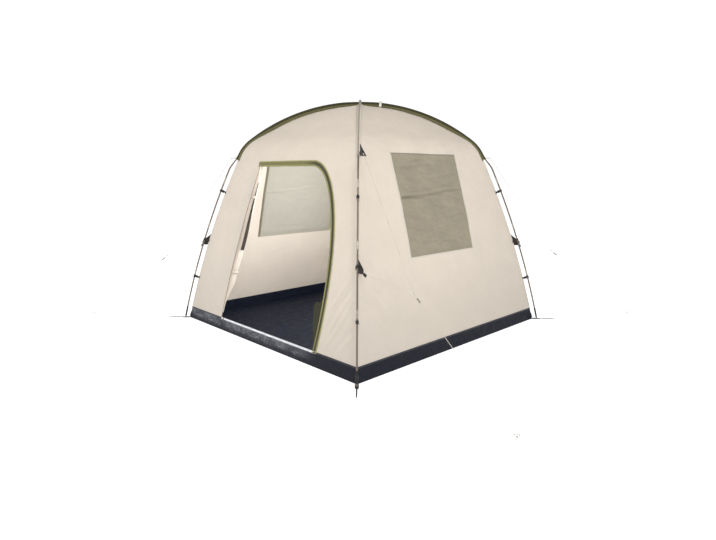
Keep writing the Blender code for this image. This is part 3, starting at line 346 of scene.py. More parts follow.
def tube(name, points, radius, material, sides=12, closed=False):
    """Round tube along a line, turned as little as possible."""
    points = np.asarray(points, float)
    along = headings(points)
    if closed:
        along = unit(np.roll(points, -1, axis=0) - np.roll(points, 1, axis=0))
    side = unit(np.cross(along[0], (0.31, -0.77, 0.55)))
    across = []
    for direction in along:
        side = unit(side - direction * side.dot(direction))
        across.append(side)
    across = np.array(across)
    if closed:
        last = unit(across[-1] - along[0] * across[-1].dot(along[0]))
        twist = math.atan2(np.cross(across[0], last).dot(along[0]), across[0].dot(last))
        for i in range(len(points)):
            back = -twist * i / len(points)
            across[i] = across[i] * math.cos(back) + np.cross(along[i], across[i]) * math.sin(back)
    angles = (np.arange(sides) + 0.5) * math.tau / sides
    profile = pair(np.cos(angles), np.sin(angles)) * np.broadcast_to(radius, (len(points),))[:, None, None]
    return sweep(name, points, across, np.cross(along, across), profile, material, closed)


def merge_pieces(name, pieces):
    """Join pieces of one kind into a single object."""
    with bpy.context.temp_override(active_object=pieces[0], selected_editable_objects=pieces):
        bpy.ops.object.join()
    pieces[0].name = name
    pieces[0].data.name = name
    return pieces[0]


# Materials

def tone(red, green, blue):
    """Linear colour of a display colour from 0 to 255."""
    shares = [c / 255.0 for c in (red, green, blue)]
    return tuple(s / 12.92 if s <= 0.04045 else ((s + 0.055) / 1.055) ** 2.4 for s in shares) + (1.0,)


def shade(colour, factor):
    return tuple(min(1.0, c * factor) for c in colour[:3]) + (1.0,)


class Finish:
    """A node material with short calls for its parts."""

    def __init__(self, name, **fixed):
        self.material = bpy.data.materials.new(name)
        self.material.use_nodes = True
        self.tree = self.material.node_tree
        self.shader = self.tree.nodes["Principled BSDF"]
        for socket, value in fixed.items():
            self.shader.inputs[socket.replace("_", " ")].default_value = value

    def node(self, kind, settings=(), **inputs):
        """New node; an input is given by its name, or by i and its number."""
        made = self.tree.nodes.new("ShaderNode" + kind)
        for key, value in dict(settings).items():
            setattr(made, key, value)
        for key, value in inputs.items():
            self.put(made.inputs[int(key[1:]) if key[0] == "i" and key[1:].isdigit() else key], value)
        return made

    def put(self, socket, value):
        if isinstance(value, bpy.types.NodeSocket):
            self.tree.links.new(value, socket)
        else:
            socket.default_value = value

    def math(self, operation, first, second=0.0):
        return self.node("Math", {"operation": operation}, i0=first, i1=second).outputs[0]

    def times(self, first, second):
        return self.math("MULTIPLY", first, second)

    def wave(self, value, pitch):
        """Sine with one wave to each pitch."""
        return self.math("SINE", self.times(value, math.tau / pitch))

    def place(self):
        return self.node("TexCoord").outputs["Object"]

    def spread(self, vector):
        """The three parts of a vector."""
        return self.node("SeparateXYZ", i0=vector).outputs[:3]

    def uv(self):
        """Map coordinates in metres, along and across."""
        return self.spread(self.node("UVMap", {"uv_map": "cloth"}).outputs["UV"])[:2]

    def join(self, x, y, z=0.0):
        return self.node("CombineXYZ", i0=x, i1=y, i2=z).outputs[0]

    def noise(self, vector, scale, detail=3.0, roughness=0.5):
        made = self.node("TexNoise", Vector=vector, Scale=scale, Detail=detail, Roughness=roughness)
        return made.outputs["Fac"]

    def streaks(self, x, x_scale, y, y_scale, detail, roughness=0.5):
        """Noise stretched by its own scale each way."""
        return self.noise(self.join(self.times(x, x_scale), self.times(y, y_scale)), 1.0, detail, roughness)

    def remap(self, value, low=0.3, high=0.7, to_low=0.0, to_high=1.0):
        made = self.node("MapRange", {"interpolation_type": "SMOOTHSTEP"}, i0=value, i1=low, i2=high,
                         i3=to_low, i4=to_high)
        return made.outputs[0]

    def blend(self, share, first, second):
        return self.node("Mix", {"data_type": "RGBA"}, i0=share, i6=first, i7=second).outputs[2]

    def mottled(self, clouds, colour, dark, light, high=0.7):
        """The colour shaded from dark to light by a noise."""
        return self.blend(self.remap(clouds, 0.3, high), shade(colour, dark), shade(colour, light))

    def bump(self, height, strength, distance, below=None):
        made = self.node("Bump", Strength=strength, Distance=distance, Height=height)
        if below is not None:
            self.put(made.inputs["Normal"], below)
        return made.outputs["Normal"]

    def weave(self, along, across, pitch):
        """Height of a plain weave, from -1 to 1."""
        return self.times(self.wave(along, pitch), self.wave(across, pitch))

    def band(self, value, centre, half, soft):
        """1 within half of centre, 0 outside, with soft edges."""
        off = self.math("ABSOLUTE", self.math("SUBTRACT", value, centre))
        return self.remap(off, half + soft, half - soft)

    def stitch(self, base, normal, along, across, rows, colour, pitch=0.004):
        """Rows of raised stitches; gives the colour and the normal with them."""
        for row in rows:
            part = self.math("FRACT", self.math("DIVIDE", along, pitch))
            dashes = self.remap(self.math("ABSOLUTE", self.math("SUBTRACT", part, 0.5)), 0.33, 0.21)
            stitches = self.times(self.band(across, row, 0.0005, 0.0002), dashes)
            base = self.blend(stitches, base, colour)
            normal = self.bump(stitches, 0.8, 0.0005, normal)
        return base, normal

    def done(self, base, rough, normal):
        for socket, value in (("Base Color", base), ("Roughness", rough), ("Normal", normal)):
            self.put(self.shader.inputs[socket], value)
        return self.material


def woven(name, colour, pitch=0.0014, through=0.0, rough=0.82, sheen=0.15, variation=0.06, grime_and_low_shade=0.0,
          crumple=0.35, rows=(), stitch_colour=None, glow=None):
    """Cloth: weave, slubs, cloudy colour, soft crumple, rows of stitches, and light through it."""
    f = Finish(name, Sheen_Weight=sheen, Sheen_Roughness=0.5, Specular_IOR_Level=0.14)
    along, across = f.uv()
    flat = f.join(along, across)
    cloudy = f.noise(flat, 5.0, 4.0, 0.6)
    warp, weft = (f.streaks(along, a, across, b, 2.0) for a, b in ((22.0, 520.0), (520.0, 22.0)))
    threads = f.math("ADD", warp, weft)
    base = f.mottled(cloudy, colour, 1.0 - variation, 1.0 + variation)
    base = f.blend(f.remap(threads, 0.75, 1.3, 0.0, 0.55), base, shade(colour, 1.0 - 2.2 * variation))
    if grime_and_low_shade:
        height = f.spread(f.place())[2]
        spots = f.remap(f.noise(f.place(), 26.0, 5.0, 0.65), 0.45, 0.75)
        low = f.times(f.remap(height, 0.42, 0.10), spots)
        base = f.blend(f.times(low, grime_and_low_shade), base, shade(colour, 0.62))
        # Painted shade: beside the dirt spots, the cloth darkens smoothly towards the bottom.
        base = f.blend(f.remap(height, 0.85, 0.15, 0.0, 0.5), base, shade(colour, 0.80))
    normal = f.bump(f.noise(flat, 38.0, 3.0, 0.55), crumple, 0.004)
    normal = f.bump(f.noise(flat, 9.0, 2.0, 0.5), crumple, 0.012, normal)
    normal = f.bump(f.weave(along, across, pitch), 0.35, pitch * 0.18, normal)
    base, normal = f.stitch(base, normal, along, across, rows, stitch_colour, 0.0045)
    f.done(base, f.remap(f.noise(flat, 60.0, 2.0), to_low=rough - 0.07, to_high=rough + 0.07), normal)
    if through:
        passed = f.node("BsdfTranslucent", Normal=normal, Color=f.mottled(cloudy, glow, 1.0, 1.05))
        mixed = f.node("MixShader", i0=through, i1=f.shader.outputs[0], i2=passed.outputs[0])
        f.put(f.tree.nodes["Material Output"].inputs["Surface"], mixed.outputs[0])
    return f.material


def webbing(name, colour, pitch=0.0024, rows=(), stitch_colour=None):
    """Narrow woven tape: ribs across it, herringbone and rows of stitches."""
    f = Finish(name, Sheen_Weight=0.2, Specular_IOR_Level=0.3)
    along, across = f.uv()
    skew = f.wave(f.math("ADD", across, f.times(along, 0.6)), pitch * 1.4)
    height = f.math("ADD", f.wave(along, pitch), f.times(skew, 0.6))
    base = f.mottled(f.noise(f.place(), 45.0, 4.0, 0.6), colour, 0.82, 1.2)
    # Painted highlight: the ribs' raised tops are lighter.
    base = f.blend(f.remap(height, 0.2, 1.5, 0.0, 0.35), base, shade(colour, 1.6))
    base, normal = f.stitch(base, f.bump(height, 0.5, pitch * 0.12), along, across, rows, stitch_colour)
    return f.done(base, f.remap(f.noise(f.place(), 120.0), to_low=0.65, to_high=0.83), normal)


def metal(name, colour, rough, metallic, stain, streak=(900.0, 30.0), coat=0.0):
    """Drawn or coated metal: streaks along it, patches of wear and a few darker spots."""
    f = Finish(name, Metallic=metallic, Coat_Weight=coat, Coat_Roughness=0.25)
    place = f.place()
    x, y, z = f.spread(place)
    drawn = f.join(f.times(x, streak[0]), f.times(y, streak[0]), f.times(z, streak[1]))
    streaks = f.noise(drawn, 1.0, 3.0, 0.6)
    patches = f.noise(place, 34.0, 5.0, 0.62)
    base = f.blend(f.remap(patches, 0.58, 0.78, 0.0, 0.5), f.mottled(streaks, colour, 0.86, 1.12), stain)
    dulled = f.remap(f.math("ADD", streaks, f.times(patches, 0.6)), 0.5, 1.1, rough - 0.08, rough + 0.14)
    return f.done(base, dulled, f.bump(f.math("ADD", streaks, patches), 0.15, 0.0006))


def plastic(name, colour, rough=0.45):
    """Moulded plastic: fine grain, a slight flow pattern and dulled patches."""
    f = Finish(name, Specular_IOR_Level=0.45)
    flow = f.noise(f.place(), 60.0, 4.0, 0.6)
    normal = f.bump(f.noise(f.place(), 900.0, 2.0), 0.25, 0.0003, f.bump(flow, 0.2, 0.0008))
    dulled = f.remap(flow, to_low=rough - 0.08, to_high=rough + 0.15)
    return f.done(f.mottled(flow, colour, 0.8, 1.35, 0.75), dulled, normal)


def cord_finish(name, colour, diameter):
    """Braided cord: crossing strands, with a fleck thread."""
    f = Finish(name, Sheen_Weight=0.15, Specular_IOR_Level=0.35)
    along, girth = f.uv()
    turn = f.math("DIVIDE", girth, math.pi * diameter)
    lay = f.math("DIVIDE", along, diameter * 2.4)
    one, other = (f.wave(f.math(way, lay, turn), 1.0 / 3.0) for way in ("ADD", "SUBTRACT"))
    height = f.math("MAXIMUM", one, other)
    flecks = f.times(f.remap(one, 0.75, 0.98), f.remap(f.noise(f.place(), 180.0), 0.5, 0.6))
    # Painted shade: the hollows between the strands are darker.
    base = f.blend(f.remap(height, -0.2, 0.9), shade(colour, 0.72), colour)
    base = f.blend(f.times(flecks, 0.6), base, tone(196, 188, 172))
    dulled = f.remap(f.noise(f.place(), 90.0), to_low=0.6, to_high=0.85)
    return f.done(base, dulled, f.bump(height, 0.6, diameter * 0.12))


def sheet_finish(name, colour, painted_sheen):
    """Coated tape-yarn floor cloth: coarse weave, mottled sheen, dust, and a painted sheen on crinkled cloth
    below the doorway, fading out low on the band as painted shade.
    """
    f = Finish(name, Specular_IOR_Level=0.12 if painted_sheen else 0.08)
    along, across = f.uv()
    flat = f.join(along, across)
    mottle = f.noise(flat, 16.0, 5.0, 0.62)
    fine = f.remap(f.noise(flat, 210.0, 3.0, 0.6), 0.42, 0.75, 0.0, 0.4)
    base = f.blend(fine, f.mottled(mottle, colour, 0.72, 1.18), shade(colour, 1.7))
    scuffs = f.remap(f.streaks(along, 7.0, across, 60.0, 4.0, 0.7), 0.56, 0.76)
    base = f.blend(f.times(scuffs, 0.10), base, tone(80, 84, 94))
    if painted_sheen:
        # Painted sheen: paler grey crinkles on the band below the doorway; they thin out towards the band's
        # foot, which stays darker as painted shade.
        x, y, z = f.spread(f.place())
        below_door = f.times(f.remap(y, -1.16, -1.22), f.remap(x, 0.80, 0.45))
        upper = f.remap(z, 0.020, 0.060, 0.12, 1.0)
        crinkles = f.remap(f.streaks(along, 26.0, across, 48.0, 5.0, 0.7), 0.36, 0.62, 0.25, 1.0)
        blotches = f.remap(f.streaks(along, 6.0, across, 14.0, 3.0, 0.6), 0.36, 0.60, 0.35, 1.0)
        share = f.times(f.times(below_door, upper), f.times(crinkles, 0.62))
        base = f.blend(f.times(share, blotches), base, tone(140, 142, 148))
    normal = f.bump(f.noise(flat, 30.0, 4.0, 0.6), 0.5, 0.006)
    normal = f.bump(f.weave(along, across, 0.0026), 0.5, 0.0005, normal)
    return f.done(base, f.remap(mottle, to_low=0.46, to_high=0.70), normal)


def door_tape_finish():
    """Zip tape: olive sides, a light rim, and a core that darkens past the doorway's upper corner.

    Across runs from the opening outwards; down the jamb the rim ends and the core moves inwards.
    """
    f = Finish("olive_zip_tape", Sheen_Weight=0.2, Specular_IOR_Level=0.3)
    along, across = f.uv()
    jamb_from, jamb_to = 2.2, 2.8
    lower = f.remap(along, jamb_from, jamb_to)
    # Down the jamb the dark core moves to the opening's edge: partly the tape's core, partly painted shade in
    # the doorway's lower corner.
    centre = f.remap(along, jamb_from, jamb_to, 0.0215, 0.012)
    dark = f.remap(f.math("ABSOLUTE", f.math("SUBTRACT", across, centre)), 0.0135, 0.0095)
    rim = f.times(f.remap(across, 0.0125, 0.0085), f.math("SUBTRACT", 1.0, lower))
    base = f.blend(rim, f.mottled(f.noise(f.place(), 60.0, 4.0, 0.6), OLIVE, 0.86, 1.14), OLIVE_LIGHT)
    base = f.blend(dark, base, f.blend(f.remap(along, 0.66, 0.86), OLIVE, OLIVE_DARK))
    base, normal = f.stitch(base, f.bump(f.wave(along, 0.0016), 0.35, 0.0002), along, across,
                            (0.0065, 0.036), shade(OLIVE, 1.5))
    return f.done(base, f.remap(f.noise(f.place(), 150.0), to_low=0.62, to_high=0.84), normal)


def sleeve_finish(name, cloth, edge, lines, crown=None):
    """Sleeve cloth with bound edges, lines of (centre, half width, colour) and two stitch rows a side."""
    f = Finish(name, Sheen_Weight=0.2, Specular_IOR_Level=0.28)
    along, across = f.uv()
    flat = f.join(along, across)
    cloudy = f.noise(flat, 30.0, 4.0, 0.6)
    side = f.math("ABSOLUTE", across)
    base = f.mottled(cloudy, cloth, 0.88, 1.14)
    for centre, half, colour in lines:
        base = f.blend(f.band(across, centre, half, 0.0012), base, colour)
    if crown:
        base = f.blend(f.remap(f.spread(f.place())[2], 1.96, 2.10), base, crown)
    base = f.blend(f.remap(side, 0.0315, 0.0330), base, edge)
    normal = f.bump(f.weave(along, across, 0.0014), 0.4, 0.00025, f.bump(cloudy, 0.4, 0.002))
    base, normal = f.stitch(base, normal, along, side, (0.0200, 0.0300), shade(edge, 1.3), 0.0045)
    return f.done(base, f.remap(f.noise(flat, 90.0), to_low=0.68, to_high=0.86), normal)


CREAM = tone(226, 217, 205)
CREAM_GLOW = tone(230, 220, 206)
OLIVE = tone(112, 108, 60)
OLIVE_DARK = tone(54, 51, 26)
OLIVE_LIGHT = tone(158, 154, 98)
GREIGE = tone(204, 194, 182)
NAVY = tone(29, 31, 40)
SPREAD_STREAKS = (220.0, 220.0)

cream = woven("cream_polycotton", CREAM, 0.0011, 0.22, 0.84, 0.06, 0.022, grime_and_low_shade=0.25, glow=CREAM_GLOW)
cream_seam = woven("cream_seam_tape", shade(CREAM, 0.93), 0.0011, 0.0, 0.84, 0.2, 0.03,
                   rows=(0.0035, 0.0085), stitch_colour=shade(CREAM, 0.62))
# The rolled door is the walls' cream made 12% lighter: painted light on the roll.
roll_cream_lit = woven("rolled_door_cloth_lit", shade(CREAM, 1.12), 0.0011, 0.25, 0.84, 0.2, 0.03, crumple=0.5,
                   glow=CREAM_GLOW)
taupe = woven("taupe_curtain_cloth", tone(155, 147, 128), rough=0.78, sheen=0.08, variation=0.075,
              crumple=0.8)
# The curtains' inner faces are a paler cloth than their outer faces: painted light, for daylight coming
# through them.
curtain_inside_lit = woven("curtain_inside_lit", tone(164, 161, 149), rough=0.8, sheen=0.1, variation=0.015,
                       crumple=0.08)
# The zip's flap is far darker than the olive tape: partly its own cloth, partly painted shade in the
# doorway's lower corner.
flap_cloth_shaded = woven("zip_flap_cloth", tone(50, 49, 30), rough=0.8, sheen=0.1, variation=0.06)
navy = sheet_finish("navy_floor_cloth", NAVY, True)
# The groundsheet's inner faces are a darker, duller copy of its floor cloth: painted shade inside the tent.
navy_inside_shaded = sheet_finish("navy_floor_cloth_inside_shaded", tone(24, 28, 40), False)
olive_sleeve_cloth = sleeve_finish("olive_sleeve_cloth", tone(106, 102, 68), tone(100, 96, 60),
                                   ((-0.0160, 0.0115, OLIVE_DARK), (0.0160, 0.0115, OLIVE_DARK)))
# The greige sleeve's bands stand for light and shade across its hump: its paler cloth is painted highlight,
# and the darker bands beside and over the pole are painted shade.
greige = sleeve_finish("greige_sleeve_cloth", shade(GREIGE, 1.14), GREIGE,
                       ((0.0165, 0.0115, tone(182, 171, 156)), (-0.0010, 0.0068, tone(152, 141, 126))),
                       tone(128, 120, 98))
door_tape = door_tape_finish()
brown_web = webbing("brown_webbing", tone(34, 27, 22), rows=(0.003, 0.013), stitch_colour=tone(92, 80, 68))
black_web = webbing("black_webbing", tone(40, 40, 44), rows=(0.004, 0.020), stitch_colour=tone(90, 90, 94))
white_web = webbing("white_webbing", tone(228, 226, 218), rows=(0.003, 0.013),
                    stitch_colour=tone(190, 186, 176))
cream_web = webbing("cream_webbing", tone(214, 204, 190), rows=(0.003, 0.017),
                    stitch_colour=tone(176, 166, 150))
navy_web = webbing("navy_seam_tape", shade(NAVY, 1.05), 0.0016, (0.0025, 0.0105), tone(84, 88, 98))
pale_tape = webbing("pale_zip_tape", tone(216, 217, 222), 0.0016, (0.0135,), tone(110, 112, 120))
roll_shadow_tape = webbing("roll_tape_painted_shadow", tone(50, 40, 30), 0.0014)
jamb_shade_binding = webbing("jamb_shade_binding", tone(128, 114, 98), 0.0014)
taupe_binding = webbing("taupe_binding", tone(168, 160, 142), 0.0014)
window_edge_shade = webbing("window_edge_tape", tone(112, 108, 88), 0.0014)
olive_piping = webbing("olive_piping", OLIVE_LIGHT, 0.0014)
olive_binding = webbing("olive_binding", tone(112, 108, 72), 0.0014)
bronze = metal("bronze_pole_lacquer", tone(110, 97, 86), 0.36, 0.35, tone(92, 80, 72), coat=0.35)
ferrule_metal = metal("ferrule_metal", tone(176, 168, 158), 0.30, 0.9, tone(128, 118, 106))
steel = metal("galvanised_steel", tone(170, 170, 172), 0.34, 1.0, tone(120, 120, 124), SPREAD_STREAKS)
dark_steel = metal("dark_steel", tone(92, 92, 94), 0.42, 0.9, tone(58, 56, 54), SPREAD_STREAKS)
black_plastic = plastic("black_plastic", tone(30, 27, 25))
runner_plastic = plastic("runner_plastic", tone(134, 126, 110))
pale_plastic = plastic("pale_plastic", tone(204, 196, 184))
black_rubber = plastic("black_rubber", tone(17, 17, 20), 0.62)
olive_coil = plastic("olive_zip_coil", tone(122, 118, 72), 0.4)
pale_coil = plastic("pale_zip_coil", tone(214, 214, 216), 0.4)
guy_white = cord_finish("guy_braid", tone(218, 210, 198), GUY_WIDTH)
bridle_white = cord_finish("bridle_braid", tone(216, 208, 195), BRIDLE_WIDTH)


# The tent's line from ground to crown, as in the model's source

def half_width(z):
    share = z / EAVE_HEIGHT
    return SIDE / 2.0 + (EAVE_WIDTH - SIDE) / 2.0 * share + 4.0 * WALL_BULGE * share * (1.0 - share)


def wall_slope(z):
    return ((SIDE - EAVE_WIDTH) / 2.0 - 4.0 * WALL_BULGE * (1.0 - 2.0 * z / EAVE_HEIGHT)) / EAVE_HEIGHT


def seam_line(z):
    """The walls' corner at a height, as (radius, height)."""
    return pair(ROOT2 * half_width(z), z)


WALL_TOP = EAVE_HEIGHT - SHOULDER_REACH
EAVE_RADIUS = ROOT2 * half_width(EAVE_HEIGHT)
ROOF_RISE = CROWN_HEIGHT - EAVE_HEIGHT
ROOF_BEND = (EAVE_RADIUS ** 2 + ROOF_RISE ** 2) / (2.0 * ROOF_RISE)
SHOULDER_END = EAVE_RADIUS - SHOULDER_REACH


def roof_height(radius):
    return CROWN_HEIGHT - ROOF_BEND + np.sqrt(ROOF_BEND ** 2 - radius ** 2)


def roof_corner_line(shoulder_rows, roof_rows):
    """Corner line from the wall's top round the eave to the crown, as rows of (radius, height)."""
    t = np.arange(shoulder_rows + 1)[:, None] / shoulder_rows
    eave, end = np.array([(EAVE_RADIUS, EAVE_HEIGHT), (SHOULDER_END, roof_height(SHOULDER_END))])
    curve = seam_line(WALL_TOP) * (1 - t) ** 2 + eave * 2 * t * (1 - t) + end * t * t
    radius = SHOULDER_END * (1.0 - np.arange(1, roof_rows + 1) / roof_rows)
    return np.concatenate([curve, pair(radius, roof_height(radius))])


def line_normals(line):
    along = headings(line)
    return pair(along[:, 1], -along[:, 0])


PROFILE_Z = np.linspace(BAND_HEIGHT, WALL_TOP, 200)
PROFILE = pair(half_width(PROFILE_Z), PROFILE_Z)
PROFILE_RUN = lengths(PROFILE)
WALL_RUN = PROFILE_RUN[-1]
ROOF_PROFILE = roof_corner_line(12, 60) / (ROOT2, 1.0)
ROOF_RUN = WALL_RUN + lengths(ROOF_PROFILE)
CROWN_RUN = ROOF_RUN[-1]
SKIN_RUN = np.concatenate([PROFILE_RUN, ROOF_RUN[1:]])
SKIN = np.concatenate([PROFILE, ROOF_PROFILE[1:]])
SKIN_NORMAL = line_normals(SKIN)


def roof_hang(radius):
    """How far the roof's cloth hangs below the poles' line, at a radius from the crown."""
    return HANG * (1.0 - smooth_step(radius, 0.86, 1.10))


def wall_run(z):
    """Distance up the wall from the groundsheet's band."""
    return np.interp(z, PROFILE_Z, PROFILE_RUN)


def door_left(z):
    share = (z - BAND_HEIGHT) / (DOOR_TOP - BAND_HEIGHT)
    return DOOR_LEFT_SILL + (DOOR_LEFT_TOP - DOOR_LEFT_SILL) * share


def door_right(z):
    z = np.asarray(z, float)
    high = np.clip((z - ARCH_Z) / ARCH_HEIGHT, 0.0, 1.0)
    low = np.clip((ARCH_Z - z) / (ARCH_Z - BAND_HEIGHT), 0.0, 1.0)
    arch = ARCH_X + ARCH_WIDTH * np.sqrt(np.maximum(0.0, 1.0 - high ** 2))
    jamb = ARCH_X + ARCH_WIDTH + (DOOR_RIGHT_SILL - ARCH_X - ARCH_WIDTH) * low ** 2
    return np.where(z > ARCH_Z, arch, jamb)


# How the cloth hangs

# Folds on each side: (from across, from run, to across, to run, half width, height), outwards positive
FOLDS = {
    "front": [(1.150, 0.700, 0.830, 0.150, 0.019, 0.0050), (1.165, 0.575, 0.840, 0.030, 0.016, -0.0060),
              (1.140, 0.800, 0.800, 0.270, 0.015, -0.0054), (1.190, 0.390, 0.960, 0.020, 0.017, 0.0044),
              (1.150, 0.640, 0.850, 0.110, 0.012, -0.0046), (1.195, 0.300, 1.020, 0.020, 0.012, -0.0036),
              (-1.160, 0.640, -0.700, 0.120, 0.018, 0.0024), (-1.150, 0.520, -0.740, 0.040, 0.015, -0.0024),
              (-0.900, 1.500, -0.520, 1.350, 0.014, 0.0016), (0.780, 1.550, 0.420, 1.500, 0.012, -0.0016)],
    "right": [(-1.150, 0.700, -0.700, 0.260, 0.018, 0.0026), (-1.170, 0.540, -0.820, 0.120, 0.015, -0.0024),
              (-0.930, 1.330, -0.520, 1.080, 0.016, 0.0018), (1.140, 0.700, 0.760, 0.220, 0.018, 0.0024),
              (0.900, 1.420, 0.480, 1.180, 0.016, -0.0018), (-0.450, 0.640, 0.300, 0.560, 0.022, 0.0014)],
    "rear": [(-1.150, 0.690, -0.700, 0.200, 0.018, 0.0028), (1.150, 0.690, 0.700, 0.200, 0.018, 0.0028),
             (-1.170, 0.500, -0.860, 0.070, 0.015, -0.0024), (1.170, 0.500, 0.860, 0.070, 0.015, -0.0024),
             (-0.860, 1.450, -0.300, 1.050, 0.020, 0.0020), (0.860, 1.450, 0.300, 1.050, 0.020, 0.0020)],
    "left": [(-1.150, 0.700, -0.700, 0.260, 0.018, 0.0026), (1.140, 0.700, 0.760, 0.220, 0.018, 0.0024),
             (-1.170, 0.540, -0.820, 0.120, 0.015, -0.0024), (0.900, 1.420, 0.480, 1.180, 0.016, -0.0018)],
}
# Creases of a curtain: (share of its height, slant, depth, half width)
CREASES = ((0.36, 0.05, 0.0040, 0.012), (0.56, -0.03, 0.0062, 0.010), (0.13, 0.02, 0.0040, 0.010),
           (0.78, 0.06, 0.0045, 0.011), (0.47, -0.06, 0.0034, 0.009), (0.90, 0.03, 0.0050, 0.012))
# Creases of the floor: (place, 0 across x or 1 across y, half width, height)
FLOOR_CREASES = ((0.31, 0, 0.010, 0.0028), (-0.42, 0, 0.012, 0.0030), (0.12, 1, 0.010, 0.0026),
                 (-0.58, 1, 0.011, 0.0028), (0.66, 1, 0.010, 0.0024))


def cloth_rise(side, s, run, half):
    """How far the cloth stands out of the frame's surface; mostly negative, as it is drawn inwards."""
    seed = 11 + 10 * list(SIDES).index(side)
    share = np.clip(s / half, -1.0, 1.0)
    up = np.clip(run / CROWN_RUN, 0.0, 1.0)
    rise = -SCOOP * (1.0 - share ** 2) * np.sin(math.pi * up) ** 0.8
    seam = half - np.abs(s)
    calm = smooth_step(seam, 0.0, 0.10) * smooth_step(run, 0.0, 0.08)
    calm = calm * smooth_step(CROWN_RUN - run, 0.02, 0.3)
    rise += calm * (0.0017 * waves(s, run, 0.34, seed) + 0.0007 * waves(s, run, 0.10, seed + 1))
    for s0, run0, s1, run1, width, height in FOLDS[side]:
        heading = np.array([s1 - s0, run1 - run0])
        reach = np.linalg.norm(heading)
        heading /= reach
        t = ((s - s0) * heading[0] + (run - run0) * heading[1]) / reach
        off = -(s - s0) * heading[1] + (run - run0) * heading[0]
        off = off + 0.008 * np.sin(t * 5.0 + width * 900.0)
        rise += height * ridge(off, width) * np.sin(math.pi * np.clip(t, 0.0, 1.0)) ** 0.7
    pucker = np.sin(run * math.tau / 0.043 + 1.4 * waves(s, run, 0.3, seed + 2, 6))
    pucker *= smooth_step(seam, 0.0, 0.018) * smooth_step(run, 0.0, 0.05)
    rise += 0.0009 * pucker * np.exp(-seam / 0.045)
    hem = np.sin(s * math.tau / 0.061 + 1.5 * waves(s, run, 0.3, seed + 3, 6))
    rise += 0.0008 * hem * np.exp(-run / 0.04) * smooth_step(run, 0.0, 0.015) * smooth_step(seam, 0.0, 0.03)
    if side == "front":
        rise = rise * (1.0 - door_calm(s, np.interp(run, PROFILE_RUN, PROFILE_Z)))
    return np.clip(rise, -0.020, 0.006)


def door_calm(x, z):
    """1 along the doorway's edge, where tape and hem hold the cloth flat, 0 well away from it."""
    far = 9.0
    beside = np.minimum(np.abs(x - door_right(z)), np.abs(x - door_left(z)))
    beside = np.where(z < DOOR_TOP, beside, far)
    above = np.hypot(np.maximum(0.0, np.maximum(DOOR_LEFT_TOP - x, x - ARCH_X)), z - DOOR_TOP)
    arch = np.abs(np.hypot((x - ARCH_X) / ARCH_WIDTH, (z - ARCH_Z) / ARCH_HEIGHT) - 1.0) * 0.7
    arch = np.where((x > ARCH_X) & (z > ARCH_Z), arch, far)
    return 1.0 - smooth_step(np.minimum(np.minimum(beside, above), arch), 0.04, 0.13)


def cloth_at(side, s, half, z, level, lean, rise):
    """Place and outward normal of a side's cloth, raised from the frame's surface."""
    across, outward = SIDES[side]
    s, half, z, level, lean, rise = (v[..., None] for v in np.broadcast_arrays(s, half, z, level, lean, rise))
    normal = unit(outward * level + UP * lean)
    return across * s + outward * half + UP * z + normal * rise, normal


def wall_place(side, s, z):
    """Place and outward normal of a wall's cloth, folds and all."""
    half = half_width(z)
    return cloth_at(side, s, half, z, 1.0, wall_slope(z), cloth_rise(side, s, wall_run(z), half))


def skin_place(side, s, run):
    """Place and outward normal of the cloth of a wall or roof, by the distance up it."""
    half, z, level, lean = (np.interp(run, SKIN_RUN, row) for row in (*SKIN.T, *SKIN_NORMAL.T))
    return cloth_at(side, s, half, z, level, lean, cloth_rise(side, s, run, half) - roof_hang(half * ROOT2))


def blocks(edges, counts):
    """Places between edges, each block split evenly into its count; edges are arrays of rows."""
    columns = [low[:, None] + (high - low)[:, None] * (np.arange(count) / count)
               for low, high, count in zip(edges, edges[1:], counts)]
    return np.concatenate(columns + [edges[-1][:, None]], axis=1)


def mitre(half):
    return half - CLEAR / ROOT2


def wall_sheet(name, side, heights, edges, counts, open_rows=None):
    """One wall's cloth as a closed thin sheet; its middle block is left out in the open rows."""
    columns = blocks(edges, counts)
    keep = np.ones((len(heights) - 1, sum(counts)), bool)
    if open_rows:
        keep[open_rows, counts[0]:counts[0] + counts[1]] = False
    z = np.broadcast_to(heights[:, None], columns.shape)
    outer, normal = wall_place(side, columns, z)
    inner = outer - grid_normals(outer, normal) * SKIN_CLOTH
    inner[0, :, 2] = outer[0, :, 2]
    return shell(name, outer, inner, pair(columns, wall_run(z)), cream, keep)


def walls():
    bottom = BAND_HEIGHT + CLEAR
    heights = np.linspace(bottom, WALL_TOP, 96)
    half = mitre(half_width(heights))
    made = {"rear": wall_sheet("rear_wall_cloth", "rear", heights, [-half, half], [140])}
    below, beside = 73, 49
    heights = np.concatenate([np.linspace(bottom, WINDOW_Z[0], below + 1)[:-1],
                              np.linspace(*WINDOW_Z, beside + 1)[:-1], [WINDOW_Z[1], WALL_TOP]])
    half = mitre(half_width(heights))
    for side in ("right", "left"):
        low, high = (np.full_like(half, edge) for edge in WINDOW_Y[side])
        made[side] = wall_sheet(side + "_wall_cloth", side, heights, [-half, low, high, half], [60, 50, 60],
                                slice(below, below + beside))
    below, beside = 91, 60
    arch = ARCH_Z + ARCH_HEIGHT * np.sin(np.linspace(0.0, math.pi / 2.0, beside + 1))
    heights = np.concatenate([np.linspace(bottom, ARCH_Z, below + 1)[:-1], arch,
                              np.linspace(DOOR_TOP, WALL_TOP, 6)[1:]])
    half = mitre(half_width(heights))
    capped = np.minimum(heights, DOOR_TOP)
    made["front"] = wall_sheet("door_wall_cloth", "front", heights,
                               [-half, door_left(capped), door_right(capped), half], [50, 40, 90],
                               slice(0, below + beside))
    return made


